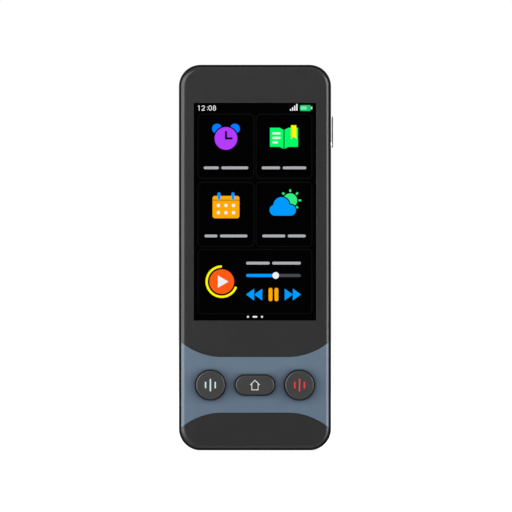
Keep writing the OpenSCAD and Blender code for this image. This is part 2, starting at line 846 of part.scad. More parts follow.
module backlight_tray() color("#b9bcc0") stand() {
    translate([0, cell_mid_y, 0])
        difference() {
            prism(cell_back_h - tray_t, cell_front_h - 0.3) square([tray_w, tray_l], center = true);
            prism(cell_back_h, cell_front_h)
                square([cell_w + 2 * fit_gap, cell_l + 2 * fit_gap], center = true);
            translate([0, -tray_l / 2, 0])
                prism(cell_back_h, cell_front_h) square([display_flex_w + 1, 2], center = true);
        }
}

module display_foam() color("#2a2a2a") stand() {
    translate([0, cell_mid_y, 0])
        difference() {
            prism(plate_front_h, plate_front_h + foam_t) square([tray_w - 2, tray_l - 2], center = true);
            prism(plate_front_h - cut, plate_front_h + foam_t + cut)
                square([tray_w - 10, tray_l - 10], center = true);
        }
}

// The display's flexible circuit, drawn as the strip's side view: out of the cell's foot, round
// through the slot in the plate and flat along the lower board
module display_flex() color("#8a5a1e") stand() {
    outer = flex_bend_r + flex_t;
    leave_h = cell_back_h + 0.3;
    land_h = board_front_h;
    turn_y = flex_slot_y + outer;
    lay_y = lower_board_top - flex_lay_l;
    translate([-display_flex_w / 2, 0, 0])
        rotate([90, 0, 90])
            linear_extrude(display_flex_w) {
                translate([turn_y, leave_h]) square([cell_mid_y - cell_l / 2 - turn_y, flex_t]);
                flex_bend([turn_y, leave_h + flex_t - outer], [-outer, 0]);
                translate([turn_y - outer, land_h + outer])
                    square([flex_t, leave_h + flex_t - land_h - 2 * outer]);
                flex_bend([turn_y - outer - flex_bend_r, land_h + outer], [0, -outer]);
                translate([lay_y, land_h]) square([turn_y - outer - flex_bend_r - lay_y, flex_t]);
            }
}

// A quarter of a flexible circuit's bend about a centre, in the quadrant that starts at corner
module flex_bend(centre, corner) {
    outer = flex_bend_r + flex_t;
    translate(centre)
        intersection() {
            difference() {
                circle(outer);
                circle(flex_bend_r);
            }
            translate(corner) square(outer);
        }
}

// ---- Front keys ----

// A moulded key, revolved: face, wall, flange and plunger
module talk_key(x) {
    flange_r = talk_key_r + key_gap + key_flange_w;
    translate([x, key_y, 0])
        rotate_extrude()
            key_section(talk_key_r, flange_r);
}

// Half the section of a round key, with its outer wall at r
module key_section(r, flange_r) {
    top_r = r - key_edge_r;
    translate([0, key_top_h - key_wall]) square([top_r, key_wall]);
    translate([r - key_wall, key_flange_low_h])
        square([key_wall, key_top_h - key_edge_r - key_flange_low_h]);
    intersection() {
        translate([top_r, key_top_h - key_edge_r]) circle(key_edge_r);
        translate([top_r, key_top_h - key_edge_r]) square(key_edge_r);
    }
    translate([r - key_wall, key_flange_low_h])
        square([flange_r - r + key_wall, panel_back_h - key_flange_low_h]);
    translate([0, plunger_end_h]) square([plunger_d / 2, key_top_h - key_wall / 2 - plunger_end_h]);
}

module left_talk_key() color("#444444") stand() talk_key(-talk_key_x);

module right_talk_key() color("#444444") stand() talk_key(talk_key_x);

module home_key() color("#444444") stand() {
    edge = key_gap + key_flange_w;
    translate([0, key_y, 0]) {
        difference() {
            union() {
                pill_slab(home_key_w, home_key_l, key_flange_low_h, key_top_h, key_edge_r);
                prism(key_flange_low_h, panel_back_h)
                    pill(home_key_w + 2 * edge, home_key_l + 2 * edge);
            }
            prism(key_flange_low_h - cut, key_top_h - key_wall)
                pill(home_key_w - 2 * key_wall, home_key_l - 2 * key_wall);
        }
        prism(plunger_end_h, key_top_h - key_wall / 2) circle(d = plunger_d);
    }
}

// A slab with round ends and a rounded upper edge, longer along x than along y
module pill_slab(w, l, low_h, high_h, edge_r) {
    r = l / 2;
    for (side = [-1, 1])
        translate([side * (w / 2 - r), 0, 0])
            rotate([0, 0, -90 * side])
                rotate_extrude(angle = 180) rounded_profile(r, low_h, high_h, edge_r);
    for (side = [0, 180])
        rotate([0, 0, side])
            rotate([90, 0, 90])
                linear_extrude(w - 2 * r, center = true) rounded_profile(r, low_h, high_h, edge_r);
}

// Silicone sheet on the plate under the key flanges, open round each plunger
module key_seal() color("#c9ccd0") stand() {
    seal_w = 2 * talk_key_x + talk_key_d + 2;
    seal_l = talk_key_d + 2;
    difference() {
        translate([0, key_y, 0])
            prism(plate_front_h, plate_front_h + seal_t) rounded_rect(seal_w, seal_l, 2);
        for (x = [-talk_key_x, 0, talk_key_x])
            translate([x, key_y, plate_front_h - cut]) cylinder(h = seal_t + 2 * cut, d = plunger_hole_d);
    }
}

// Snap domes on the lower board, one under each plunger
module key_domes() color("#d9d9d6") stand() {
    sheet = 0.1;
    dome_r = (pow(dome_d / 2, 2) + pow(dome_h, 2)) / (2 * dome_h);
    for (x = [-talk_key_x, 0, talk_key_x])
        translate([x, key_y, board_front_h])
            rotate_extrude()
                intersection() {
                    translate([0, dome_h - dome_r])
                        difference() {
                            circle(dome_r);
                            circle(dome_r - sheet);
                        }
                    square([dome_d, dome_h + sheet]);
                }
}

// ---- Power key ----

// The dark cap outside the frame, with a rounded edge
module power_key_cap() color("#2f2f31") stand() {
    translate([body_w / 2 + power_stem_h, power_y, power_h])
        rotate([90, 0, 90]) pill_slab(power_l, power_w, 0, power_cap_t, power_cap_t * 0.6);
}

// The pale stem through the frame, with the flange and the nub inside
module power_key_stem() color("#d8dadc") stand() {
    stem_l = body_w / 2 + power_stem_h - power_flange_x;
    translate([power_flange_x, power_y, power_h])
        rotate([90, 0, 90]) {
            prism(0, stem_l) pill(power_stem_l, power_stem_w);
            prism(-power_flange_t, 0) pill(power_flange_l, power_flange_w);
            prism(-power_flange_t - power_nub_l, -power_flange_t) circle(d = 1.8);
        }
}

module power_switch() color("#8d9094") stand() {
    translate([switch_back_x, power_y, power_h])
        rotate([90, 0, 90]) {
            prism(0, switch_t) square([4.5, 2.2], center = true);
            prism(switch_t, switch_t + switch_tip_l) circle(d = 1.4);
        }
}

module switch_bracket() color("#b9bcc0") stand() {
    translate([switch_back_x - bracket_t, power_y - bracket_l / 2, power_h - bracket_w / 2])
        cube([bracket_t, bracket_l, bracket_w]);
}

// ---- Lower board and charging port ----

module lower_board() color("#1f5a3a") stand() {
    difference() {
        translate([0, lower_board_y + lower_board_l / 2, 0])
            prism(board_back_h, board_front_h) rounded_rect(lower_board_w, lower_board_l, board_r);
        screw_holes(lower_screws, screw_d + 0.3, board_back_h - cut, board_front_h + cut);
    }
}

module port_shell() color("#c4c6c8") stand() {
    translate([0, port_inset, port_mid_h])
        rotate([-90, 0, 0])
            difference() {
                prism(0, port_l) pill(port_w, port_h);
                prism(-cut, port_l - port_sheet) pill(port_w - 2 * port_sheet, port_h - 2 * port_sheet);
            }
}

module port_tongue() color("#1a1a1a") stand() {
    tongue_w = 6.7;
    tongue_t = 0.7;
    base_l = 1.6;
    translate([0, port_inset, port_mid_h])
        rotate([-90, 0, 0]) {
            prism(0.6, port_l - port_sheet) square([tongue_w, tongue_t], center = true);
            prism(port_l - port_sheet - base_l, port_l - port_sheet)
                pill(port_w - 2 * port_sheet - 0.02, port_h - 2 * port_sheet - 0.02);
        }
}

// ---- Sound ----

// A microphone on the back of a board, at x and with its middle at y
module mic(x, y) {
    translate([x, y, 0]) prism(board_back_h - mic_h, board_back_h) square([mic_w, mic_l], center = true);
}

// Its rubber boot, from the end wall to just past the microphone, with the sound channel. way is 1 where
// the wall is at the bottom end and -1 at the top.
module mic_boot(x, wall_y, mic_y, way) {
    boot_w = mic_w + 2 * boot_wall;
    far = abs(mic_y - wall_y) + mic_l / 2 + boot_wall;
    boot_low_h = port_mid_h - mic_hole_d / 2 - boot_wall;
    mic_far = far - boot_wall - mic_l / 2;
    translate([x, wall_y, 0])
        mirror([0, way > 0 ? 0 : 1, 0])
            difference() {
                translate([-boot_w / 2, 0, boot_low_h]) cube([boot_w, far, board_back_h - boot_low_h]);
                translate([0, mic_far, 0])
                    prism(board_back_h - mic_h, board_back_h + cut)
                        square([mic_w + 2 * fit_gap, mic_l + 2 * fit_gap], center = true);
                translate([0, -cut, port_mid_h])
                    rotate([-90, 0, 0]) cylinder(h = mic_far + cut, d = mic_hole_d);
                translate([0, mic_far, port_mid_h])
                    cylinder(h = board_back_h - mic_h - port_mid_h + cut, d = mic_hole_d * 0.8);
            }
}

main_mic_y = lower_board_y + mic_l / 2 + 0.4;
top_mic_y = main_board_top - mic_l / 2 - 0.4;

module main_mic() color("#c9b26a") stand() mic(main_mic_x, main_mic_y);

module main_mic_boot() color("#262626") stand() mic_boot(main_mic_x, frame_wall, main_mic_y, 1);

module top_mic() color("#c9b26a") stand() mic(top_mic_x, top_mic_y);

module top_mic_boot() color("#262626") stand() mic_boot(top_mic_x, body_l - frame_wall, top_mic_y, -1);

module speaker() color("#2c2c2e") stand() {
    translate([0, speaker_y, 0]) {
        prism(speaker_low_h, speaker_low_h + speaker_t - 0.6)
            rounded_rect(speaker_w, speaker_l, 1.5);
        prism(speaker_low_h + speaker_t - 0.6, speaker_low_h + speaker_t)
            rounded_rect(speaker_w - 6, speaker_l - 3, 1.5);
    }
}

// Foam block that holds the loudspeaker down from the lower board
module speaker_cushion() color("#3a3a3a") stand() {
    translate([0, speaker_y, 0])
        prism(speaker_low_h + speaker_t, board_back_h)
            square([speaker_w / 2, speaker_l / 2], center = true);
}

module speaker_gasket() color("#3a3a3a") stand() {
    translate([0, speaker_y, 0])
        difference() {
            prism(back_wall, speaker_low_h) square([speaker_w - 0.4, speaker_l - 0.4], center = true);
            prism(back_wall - cut, speaker_low_h + cut)
                pill(grille_w - 2 * grille_shelf + 0.4, grille_l - 2 * grille_shelf + 0.4);
        }
}

// Pressed grille plate with three staggered rows of holes
module speaker_grille() color("#3a3b3d") stand() {
    row_pitch = grille_pitch * sqrt(3) / 2;
    columns = floor((grille_w - 2 * grille_shelf - grille_hole_d) / grille_pitch / 2);
    translate([0, speaker_y, 0])
        difference() {
            prism(0, grille_t) pill(grille_w, grille_l);
            for (i = [-columns : columns])
                translate([i * grille_pitch, 0, -cut]) cylinder(h = grille_t + 2 * cut, d = grille_hole_d);
            for (i = [-columns : columns - 1], row = [-1, 1])
                translate([(i + 0.5) * grille_pitch, row * row_pitch, -cut])
                    cylinder(h = grille_t + 2 * cut, d = grille_hole_d);
        }
}

module vibration_motor() color("#a9abad") stand() {
    motor_t = 2.7;
    translate([lower_board_w / 2 - motor_d / 2 - 1, speaker_y + 3.4, board_back_h - motor_t])
        cylinder(h = motor_t, d = motor_d);
}

// ---- Battery ----

module battery() color("#9ba0a6") stand() {
    translate([0, battery_y + battery_l / 2, 0])
        prism(battery_front_h - battery_t, battery_front_h) rounded_rect(battery_w, battery_l, 1.5);
}

module battery_pad() color("#e8e4da") stand() {
    translate([0, battery_y + battery_l / 2, 0])
        prism(battery_front_h, plate_back_h) square([battery_w - 6, battery_l - 8], center = true);
}

// Protection board on the battery's end
module battery_board() color("#d6a21e") stand() {
    translate([0, battery_top + protect_gap / 2 + protect_l / 2, 0])
        prism(tail_h - 1.2, tail_h) square([battery_w - 6, protect_l + protect_gap], center = true);
}

// Flat strip from the protection board to the socket
module battery_tail() color("#8a5a1e") stand() {
    tail_low_y = battery_top + protect_gap;
    translate([-tail_w / 2, tail_low_y, tail_h])
        cube([tail_w, socket_y + socket_l / 2 + fit_gap - tail_low_y, flex_t]);
}

module battery_socket() color("#e6e2d6") stand() {
    translate([0, socket_y, 0])
        prism(board_back_h - socket_h, board_back_h) square([socket_w, socket_l], center = true);
}

// Strip that joins the two boards beside the battery
module link_flex() color("#8a5a1e") stand() {
    from_y = lower_board_top - link_overlap;
    to_y = main_board_y + link_overlap;
    translate([link_x, from_y, board_front_h]) cube([link_w, to_y - from_y, flex_t]);
}

// ---- Main board ----

module main_board() color("#1f5a3a") stand() {
    difference() {
        translate([0, main_board_y + main_board_l / 2, 0])
            prism(board_back_h, board_front_h) rounded_rect(main_board_w, main_board_l, board_r);
        screw_holes(main_screws, screw_d + 0.3, board_back_h - cut, board_front_h + cut);
    }
}

// An open can pressed over a chip on the back of a board
module shield(place, w, l) {
    translate([place[0], place[1], 0])
        difference() {
            prism(board_back_h - shield_h, board_back_h) rounded_rect(w, l, 1);
            prism(board_back_h - shield_h + shield_sheet, board_back_h + cut)
                square([w - 2 * shield_sheet, l - 2 * shield_sheet], center = true);
        }
}

module processor_shield() color("#c0c2c4") stand()
    shield(processor_place, processor_shield_w, processor_shield_l);

module radio_shield() color("#c0c2c4") stand() shield(radio_place, radio_shield_w, radio_shield_l);

module chip(place, w, l) {
    translate([place[0], place[1], 0])
        prism(board_back_h - chip_h, board_back_h) square([w, l], center = true);
}

module board_chips() color("#18191b") stand() {
    chip(processor_place, processor_shield_w - 2 * chip_gap, processor_shield_l - 2 * chip_gap);
    chip(radio_place, radio_shield_w - 2 * chip_gap, radio_shield_l - 2 * chip_gap);
    chip(memory_place, memory_w, memory_l);
    chip(clock_place, clock_side, clock_side);
}

// Strip on the inside of the top wall, folded onto the board
module antenna() color("#c58a3a") stand() {
    wall_y = body_l - frame_wall;
    sheet = 0.2;
    foot_l = 1.5;
    low_h = parting_h + lip_h + 0.5;
    translate([antenna_end_x - antenna_l, wall_y - sheet, low_h])
        cube([antenna_l, sheet, board_back_h - low_h]);
    translate([antenna_end_x - 2 - antenna_foot_w, main_board_top - foot_l, board_back_h - sheet])
        cube([antenna_foot_w, wall_y - main_board_top + foot_l, sheet]);
}

// ---- Camera and flash ----

module camera_module() color("#1a1a1c") stand() {
    body_low_h = camera_front_h + barrel_h;
    translate([camera_x, camera_y, 0]) {
        prism(body_low_h, camera_back_h) square(camera_side, center = true);
        difference() {
            prism(camera_front_h, body_low_h) circle(d = lens_d);
            prism(camera_front_h - cut, camera_front_h + 0.5) circle(d = lens_d - 2.4);
        }
    }
}

module camera_cushion() color("#555555") stand() {
    translate([camera_x, camera_y, 0])
        prism(camera_back_h, board_back_h) square(camera_side - 3, center = true);
}

// Plate flush with the back, round the lens and the flash
module camera_plate() color("#101012") stand() {
    difference() {
        translate([camera_x, (camera_y + flash_y) / 2, 0])
            prism(0, camera_plate_t) pill(camera_plate_w, camera_plate_l);
        translate([camera_x, camera_y, -cut])
            cylinder(h = camera_plate_t + 2 * cut, d = lens_d + 2 * fit_gap);
        translate([camera_x, flash_y, -cut])
            cylinder(h = camera_plate_t + 2 * cut, d = flash_d + 2 * fit_gap);
    }
}

module lens_window() color("#202838") stand() {
    translate([camera_x, camera_y, 0]) prism(0.1, camera_plate_t) circle(d = lens_d);
}

module flash_lens() color("#f2ead0") stand() {
    translate([camera_x, flash_y, 0]) prism(0, camera_plate_t) circle(d = flash_d);
}

module flash_led() color("#f4e27a") stand() {
    translate([camera_x, flash_y, 0])
        prism(back_wall + fit_gap, flash_board_h) square([3, 3], center = true);
}

module flash_board() color("#1f5a3a") stand() {
    translate([camera_x, flash_y, 0])
        prism(flash_board_h, flash_board_h + 0.6) square([6, 5], center = true);
}

// ---- Fasteners ----

module board_screws() color("#5c5f63") stand() {
    for (place = concat(lower_screws, main_screws))
        translate([place[0], place[1], 0]) {
            prism(board_back_h - screw_head_h, board_back_h) circle(d = screw_head_d);
            prism(board_back_h, plate_front_h - 0.3) circle(d = screw_d);
        }
}

rear_cover();
mid_frame();
front_cover();
key_band();
chin_panel();
panel_tape();
touch_glass();
display_gasket();
display_cell();
backlight_tray();
display_foam();
display_flex();
left_talk_key();
home_key();
right_talk_key();
key_seal();
key_domes();
lower_board();
power_key_cap();
power_key_stem();
power_switch();
switch_bracket();
port_shell();
port_tongue();
main_mic();
main_mic_boot();
speaker();
speaker_gasket();
speaker_cushion();
speaker_grille();
vibration_motor();
battery();
battery_pad();
battery_board();
battery_tail();
battery_socket();
link_flex();
main_board();
processor_shield();
radio_shield();
board_chips();
top_mic();
top_mic_boot();
antenna();
camera_module();
camera_cushion();
camera_plate();
lens_window();
flash_led();
flash_board();
flash_lens();
board_screws();
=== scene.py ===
"""Looks for the handheld translator: a finish for each solid, the screen's picture and the keys' signs.

Lengths are in millimetres up to where Blender takes them, and those of the studio in metres. Seen from
the front, x runs to the right and z up. Colours are in linear light, apart from those given to lit().
"""
import math

import bmesh
import bpy
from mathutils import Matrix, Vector


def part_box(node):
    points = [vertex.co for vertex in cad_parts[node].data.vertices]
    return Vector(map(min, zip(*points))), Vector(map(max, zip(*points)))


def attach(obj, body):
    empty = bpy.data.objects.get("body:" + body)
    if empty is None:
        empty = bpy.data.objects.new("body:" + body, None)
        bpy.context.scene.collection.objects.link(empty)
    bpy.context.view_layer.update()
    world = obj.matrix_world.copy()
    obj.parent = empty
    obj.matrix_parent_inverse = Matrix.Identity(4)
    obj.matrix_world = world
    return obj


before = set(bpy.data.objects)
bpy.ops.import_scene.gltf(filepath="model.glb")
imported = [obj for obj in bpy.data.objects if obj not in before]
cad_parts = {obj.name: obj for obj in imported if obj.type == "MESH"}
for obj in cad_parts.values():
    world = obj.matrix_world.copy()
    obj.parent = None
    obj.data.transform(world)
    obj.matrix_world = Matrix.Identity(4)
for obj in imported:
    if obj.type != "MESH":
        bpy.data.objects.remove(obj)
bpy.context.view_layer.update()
MM = 0.001


def corners_of(node):
    """A node's lowest and highest corners, in millimetres."""
    low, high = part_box(node)
    return low / MM, high / MM


def middle_of(node):
    """x and z of a node's middle, in millimetres."""
    low, high = corners_of(node)
    return (low.x + high.x) / 2, (low.z + high.z) / 2


def scaled(colour, by):
    """A colour that is by times as bright."""
    return tuple(min(1, c * by) for c in colour[:3]) + (1.0,)


# ---------------------------------------------------------------- node trees

class Nodes:
    """Adds shader nodes to a tree and joins them."""

    def __init__(self, tree):
        self.tree = tree

    def node(self, kind, **values):
        """Adds a node of this kind with these properties."""
        made = self.tree.nodes.new("ShaderNode" + kind)
        for key, value in values.items():
            setattr(made, key, value)
        return made

    def feed(self, socket, value):
        """Links a socket to another node's output, or sets it to a number or a colour."""
        if isinstance(value, bpy.types.NodeSocket):
            self.tree.links.new(value, socket)
        else:
            socket.default_value = value

    def math(self, kind, *values):
        """What a Math node of this kind makes of the values."""
        made = self.node("Math", operation=kind)
        for socket, value in zip(made.inputs, values):
            self.feed(socket, value)
        return made.outputs[0]

    def spread(self, value, low, high, from_low=0.3, from_high=0.7, ease="LINEAR"):
        """Carries value from the range from_low to from_high over to the range low to high."""
        made = self.node("MapRange", interpolation_type=ease)
        numbers = {
            "Value": value, "From Min": from_low, "From Max": from_high, "To Min": low, "To Max": high,
        }
        for name, number in numbers.items():
            self.feed(made.inputs[name], number)
        return made.outputs["Result"]

    def mix(self, factor, a, b, blend="MIX"):
        """The colour a where factor is 0, and b, or a blended with b, where it is 1."""
        made = self.node("Mix", data_type="RGBA", blend_type=blend)
        for name, value in (("Factor", factor), ("A", a), ("B", b)):
            self.feed(made.inputs[name], value)
        return made.outputs["Result"]

    def ramp(self, value, stops):
        """A colour ramp with the given places and colours."""
        made = self.node("ValToRGB")
        self.feed(made.inputs[0], value)
        elements = made.color_ramp.elements
        while len(elements) < len(stops):
            elements.new(0.5)
        for element, (place, colour) in zip(elements, stops):
            element.position, element.color = place, colour
        return made.outputs[0]


class Finish(Nodes):
    """A material under construction, with a Principled shader and the object's own coordinates."""

    def __init__(self, name, colour, rough, **sockets):
        self.material = bpy.data.materials.new(name)
        self.material.use_nodes = True
        super().__init__(self.material.node_tree)
        self.shader = self.tree.nodes["Principled BSDF"]
        self.colour, self.rough = colour, rough
        self.feed(self.shader.inputs["Base Color"], colour)
        self.feed(self.shader.inputs["Roughness"], rough)
        for socket, value in sockets.items():
            self.feed(self.shader.inputs[socket.replace("_", " ")], value)
        self.place = self.node("TexCoord").outputs["Object"]

    def noise(self, size, detail, stretch=(1, 1, 1)):
        """A noise from 0 to 1, whose spots are about size millimetres across."""
        mapping = self.node("Mapping")
        self.feed(mapping.inputs["Scale"], stretch)
        self.feed(mapping.inputs["Vector"], self.place)
        made = self.node("TexNoise")
        self.feed(made.inputs["Scale"], 1 / (size * MM))
        self.feed(made.inputs["Detail"], detail)
        self.feed(made.inputs["Vector"], mapping.outputs["Vector"])
        return made.outputs["Fac"]

    def drift(self, size, detail=2.0):
        """A slow noise, spread over its full range."""
        return self.spread(self.noise(size, detail), 0.0, 1.0)

    def off(self, x, z):
        """How far a point of the surface lies from x and z, along each, in millimetres."""
        split = self.node("SeparateXYZ")
        self.feed(split.inputs[0], self.place)
        places = (self.math("DIVIDE", split.outputs[axis], MM) for axis in "XZ")
        return [self.math("SUBTRACT", place, middle) for place, middle in zip(places, (x, z))]

    def length(self, a, b):
        """The long side of a right triangle with the short sides a and b."""
        squares = self.math("ADD", self.math("MULTIPLY", a, a), self.math("MULTIPLY", b, b))
        return self.math("SQRT", squares)

    def shade(self, value, first, last):
        """Takes the surface from the colour first, where value is 0, to last, where it is 1."""
        self.feed(self.shader.inputs["Base Color"], self.mix(value, first, last))
        return self

    def vary_colour(self, value, share):
        """Makes the colour darker by share where value is 0, and lighter by share where it is 1."""
        return self.shade(value, scaled(self.colour, 1 - share), scaled(self.colour, 1 + share))

    def paint_shade(self, value, share):
        """Multiplies the colour so far by 1 where value is 0, and by the colour share where it is 1."""
        so_far = self.shader.inputs["Base Color"].links[0].from_socket
        self.feed(self.shader.inputs["Base Color"], self.mix(value, so_far, share, "MULTIPLY"))
        return self

    def vary_rough(self, value, by):
        """Takes the roughness from by below the plain one to by above it as value rises."""
        self.feed(self.shader.inputs["Roughness"], self.spread(value, self.rough - by, self.rough + by))
        return self

    def bump(self, value, depth, strength=1.0):
        """Raises the surface by up to depth millimetres where value is 1."""
        made = self.node("Bump")
        self.feed(made.inputs["Distance"], depth * MM)
        self.feed(made.inputs["Strength"], strength)
        self.feed(made.inputs["Height"], value)
        self.feed(self.shader.inputs["Normal"], made.outputs["Normal"])
        return self


# ---------------------------------------------------------------- materials

KEY_FLANGE = 0.5  # of each key behind the band, beyond the hole that the key stands in
GLASS_ROUGH = 0.05
GLASS_SPECULAR = 0.1


def moulded(name, colour, rough, grain=0.22, depth=0.0016, specular=0.5, vary=0.05):
    """Moulded plastic with a fine spark-eroded grain, and slow drifts of colour and gloss."""
    finish = Finish(name, colour, rough, Specular_IOR_Level=specular)
    finish.vary_colour(finish.drift(14), vary)
    finish.vary_rough(finish.noise(3.5, 4), 0.03)
    return finish.bump(finish.noise(grain, 2), depth).material


def band_slate_painted_shade(keys):
    """Slate-blue satin, with shade painted darker round each key: far out at its sides, less below it,
    least above it.
    """
    reach_above, reach_below, reach_aside = 0.35, 0.65, 2.0
    painted_shade_at_hole = (0.37, 0.38, 0.42, 1)  # painted shade: the share of the colour left at the edge of a key's hole
    finish = Finish("band_slate_painted_shade", (0.126, 0.178, 0.240, 1), 0.24, Specular_IOR_Level=0.6)
    finish.vary_colour(finish.drift(14), 0.03)
    # Painted shade: each key darkens the colour round its hole, fading with the distance from it
    for key in keys:
        low, high = corners_of(key)
        half_w, half_h = (high.x - low.x) / 2, (high.z - low.z) / 2
        off_x, off_z = finish.off(*middle_of(key))
        # The straight stretch of a long key counts as its middle
        past_flat = finish.math("SUBTRACT", finish.math("ABSOLUTE", off_x), half_w - half_h)
        off_x = finish.math("MAXIMUM", past_flat, 0.0)
        far = finish.length(off_x, off_z)
        aside = finish.math("POWER", finish.math("DIVIDE", off_x, far), 2.0)
        upright = finish.spread(off_z, reach_below, reach_above, -half_h, half_h)
        reach = finish.math("ADD", upright, finish.math("MULTIPLY", aside, reach_aside - reach_above))
        gap = finish.math("MAXIMUM", finish.math("SUBTRACT", far, half_h - KEY_FLANGE), 0.0)
        fall = finish.math("DIVIDE", gap, finish.math("MULTIPLY", reach, -1.0))
        finish.paint_shade(finish.math("EXPONENT", fall), painted_shade_at_hole)
    finish.vary_rough(finish.noise(3.5, 4), 0.03)
    return finish.bump(finish.noise(0.18, 2), 0.0016).material


def metal(name, colour, rough, stretch=(1, 1, 12), depth=0.002):
    """Rolled or drawn metal with its grain along one axis."""
    finish = Finish(name, colour, rough, Metallic=1.0)
    finish.vary_colour(finish.drift(3, 3), 0.08)
    finish.vary_rough(finish.noise(0.9, 4, stretch), 0.07)
    return finish.bump(finish.noise(0.35, 3, stretch), depth).material


def lacquered_board(name):
    """Solder resist over copper tracks: a lighter and slightly raised pattern of straight runs.

    The runs are the joints of a brick texture with bricks of about 1.9 by 1 mm.
    """
    green = (0.010, 0.075, 0.035, 1)
    brick_scale, run_width, row_shift = 260, 0.09, 0.37
    finish = Finish(name, green, 0.32, Specular_IOR_Level=0.5)
    turn = finish.node("Mapping")
    finish.feed(turn.inputs["Rotation"], (math.pi / 2, 0, 0))
    finish.feed(turn.inputs["Vector"], finish.place)
    runs = finish.node("TexBrick", offset=row_shift)
    numbers = {
        "Vector": turn.outputs["Vector"], "Scale": brick_scale, "Mortar Size": run_width,
        "Color1": (0, 0, 0, 1), "Color2": (0, 0, 0, 1), "Mortar": (1, 1, 1, 1),
    }
    for socket, value in numbers.items():
        finish.feed(runs.inputs[socket], value)
    finish.shade(runs.outputs["Color"], green, scaled(green, 1.9))
    finish.vary_rough(finish.noise(2, 3), 0.05)
    return finish.bump(runs.outputs["Color"], 0.02).material


def soft(name, colour, cell=0.35):
    """Foam, rubber or adhesive film with open pores."""
    finish = Finish(name, colour, 0.85, Specular_IOR_Level=0.25)
    finish.vary_colour(finish.drift(1.2, 4), 0.18)
    pores = finish.node("TexVoronoi")
    finish.feed(pores.inputs["Scale"], 1 / (cell * MM))
    finish.feed(pores.inputs["Vector"], finish.place)
    return finish.bump(pores.outputs["Distance"], 0.05, 0.6).material


def film(name):
    """Flexible circuit: amber film with darker parallel tracks."""
    amber = (0.30, 0.12, 0.02, 1)
    wave_scale = 340  # gives a track every 0.92 mm
    finish = Finish(name, amber, 0.28, Specular_IOR_Level=0.5)
    tracks = finish.node("TexWave", bands_direction="X")
    finish.feed(tracks.inputs["Scale"], wave_scale)
    finish.feed(tracks.inputs["Vector"], finish.place)
    finish.shade(tracks.outputs["Fac"], amber, scaled(amber, 0.55))
    finish.vary_rough(finish.noise(1.5, 3), 0.05)
    return finish.bump(tracks.outputs["Fac"], 0.01).material


def polished(name, colour, rough, specular):
    """Glass or clear plastic with faint smears in its gloss."""
    finish = Finish(name, colour, rough, Specular_IOR_Level=specular)
    finish.vary_colour(finish.drift(20), 0.03)
    return finish.vary_rough(finish.noise(9, 5, (1, 1, 0.5)), rough * 0.5).material


def milky(name):
    """Translucent plastic, with faint cloudy streaks in its gloss."""
    finish = Finish(name, (0.96, 0.97, 0.98, 1), 0.12, IOR=1.15, Transmission_Weight=0.9)
    finish.vary_colour(finish.drift(2), 0.02)
    return finish.vary_rough(finish.noise(0.8, 4, (1, 1, 0.3)), 0.05).material


def from_middle(finish, node):
    """How far a point of the surface lies from the node's middle, as a share of the node's radius."""
    low, high = corners_of(node)
    off_x, off_z = finish.off(*middle_of(node))
    return finish.math("DIVIDE", finish.length(off_x, off_z), (high.x - low.x) / 2)


def coated_lens(name, node):
    """A camera window: blue and violet in the middle, a painted reflection of its coating, with the
    barrel's steps as rings round it.
    """
    finish = Finish(name, (0.004, 0.004, 0.006, 1), 0.04, Specular_IOR_Level=0.6)
    black = (0.001, 0.001, 0.0015, 1)
    rings_and_painted_sheen = finish.ramp(from_middle(finish, node), [
        # Painted reflection: the coating's blue and violet sheen, from the middle out
        (0.00, (0.004, 0.010, 0.060, 1)),
        (0.17, (0.010, 0.030, 0.180, 1)),
        (0.27, (0.070, 0.012, 0.130, 1)),
        (0.33, black),
        (0.50, black),
        (0.53, (0.080, 0.080, 0.085, 1)),
        (0.57, black),
        (0.72, black),
        (0.75, (0.035, 0.035, 0.038, 1)),
        (0.80, black),
    ])
    finish.feed(finish.shader.inputs["Base Color"], rings_and_painted_sheen)
    return finish.vary_rough(finish.noise(4, 4), 0.015).material


def ribbed_lens(name, node):
    """A flash lens: clear and pale in the middle, dim at its edge, with round ridges pressed into it."""
    pale, dim = (0.72, 0.68, 0.54, 1), (0.34, 0.31, 0.22, 1)
    edge_angle = 32.0  # of the sine at the edge, in radians, which gives five ridges
    finish = Finish(name, pale, 0.16, Specular_IOR_Level=0.5)
    share = from_middle(finish, node)
    ridges = finish.math("SINE", finish.math("MULTIPLY", share, edge_angle))
    finish.shade(finish.spread(share, 0.0, 1.0, from_low=0.25, from_high=0.9), pale, dim)
    return finish.bump(ridges, 0.03).material


def linear(level):
    """A level from 0 to 255, as a picture has it, in linear light."""
    share = level / 255
    return share / 12.92 if share <= 0.04045 else ((share + 0.055) / 1.055) ** 2.4


def lit(name, red, green, blue):
    """A lit part of the screen's picture, from 0 to 255, with the gloss of the glass in front of it."""
    colour = (linear(red), linear(green), linear(blue), 1.0)
    finish = Finish(
        name, (0, 0, 0, 1), GLASS_ROUGH, Specular_IOR_Level=GLASS_SPECULAR, Emission_Strength=1.0,
    )
    glow = finish.mix(finish.drift(6), scaled(colour, 0.985), colour)
    finish.feed(finish.shader.inputs["Emission Color"], glow)
    return finish.material


def ink(name, colour):
    """Ink printed on a key, a little uneven at its own scale."""
    finish = Finish(name, colour, 0.45, Specular_IOR_Level=0.4)
    finish.vary_colour(finish.drift(0.5, 4), 0.05)
    return finish.bump(finish.noise(0.12, 3), 0.002).material


PANEL_GREY = (0.030, 0.030, 0.030, 1)
KEY_GREY = (0.051, 0.051, 0.051, 1)
STEEL = (0.58, 0.59, 0.60, 1)

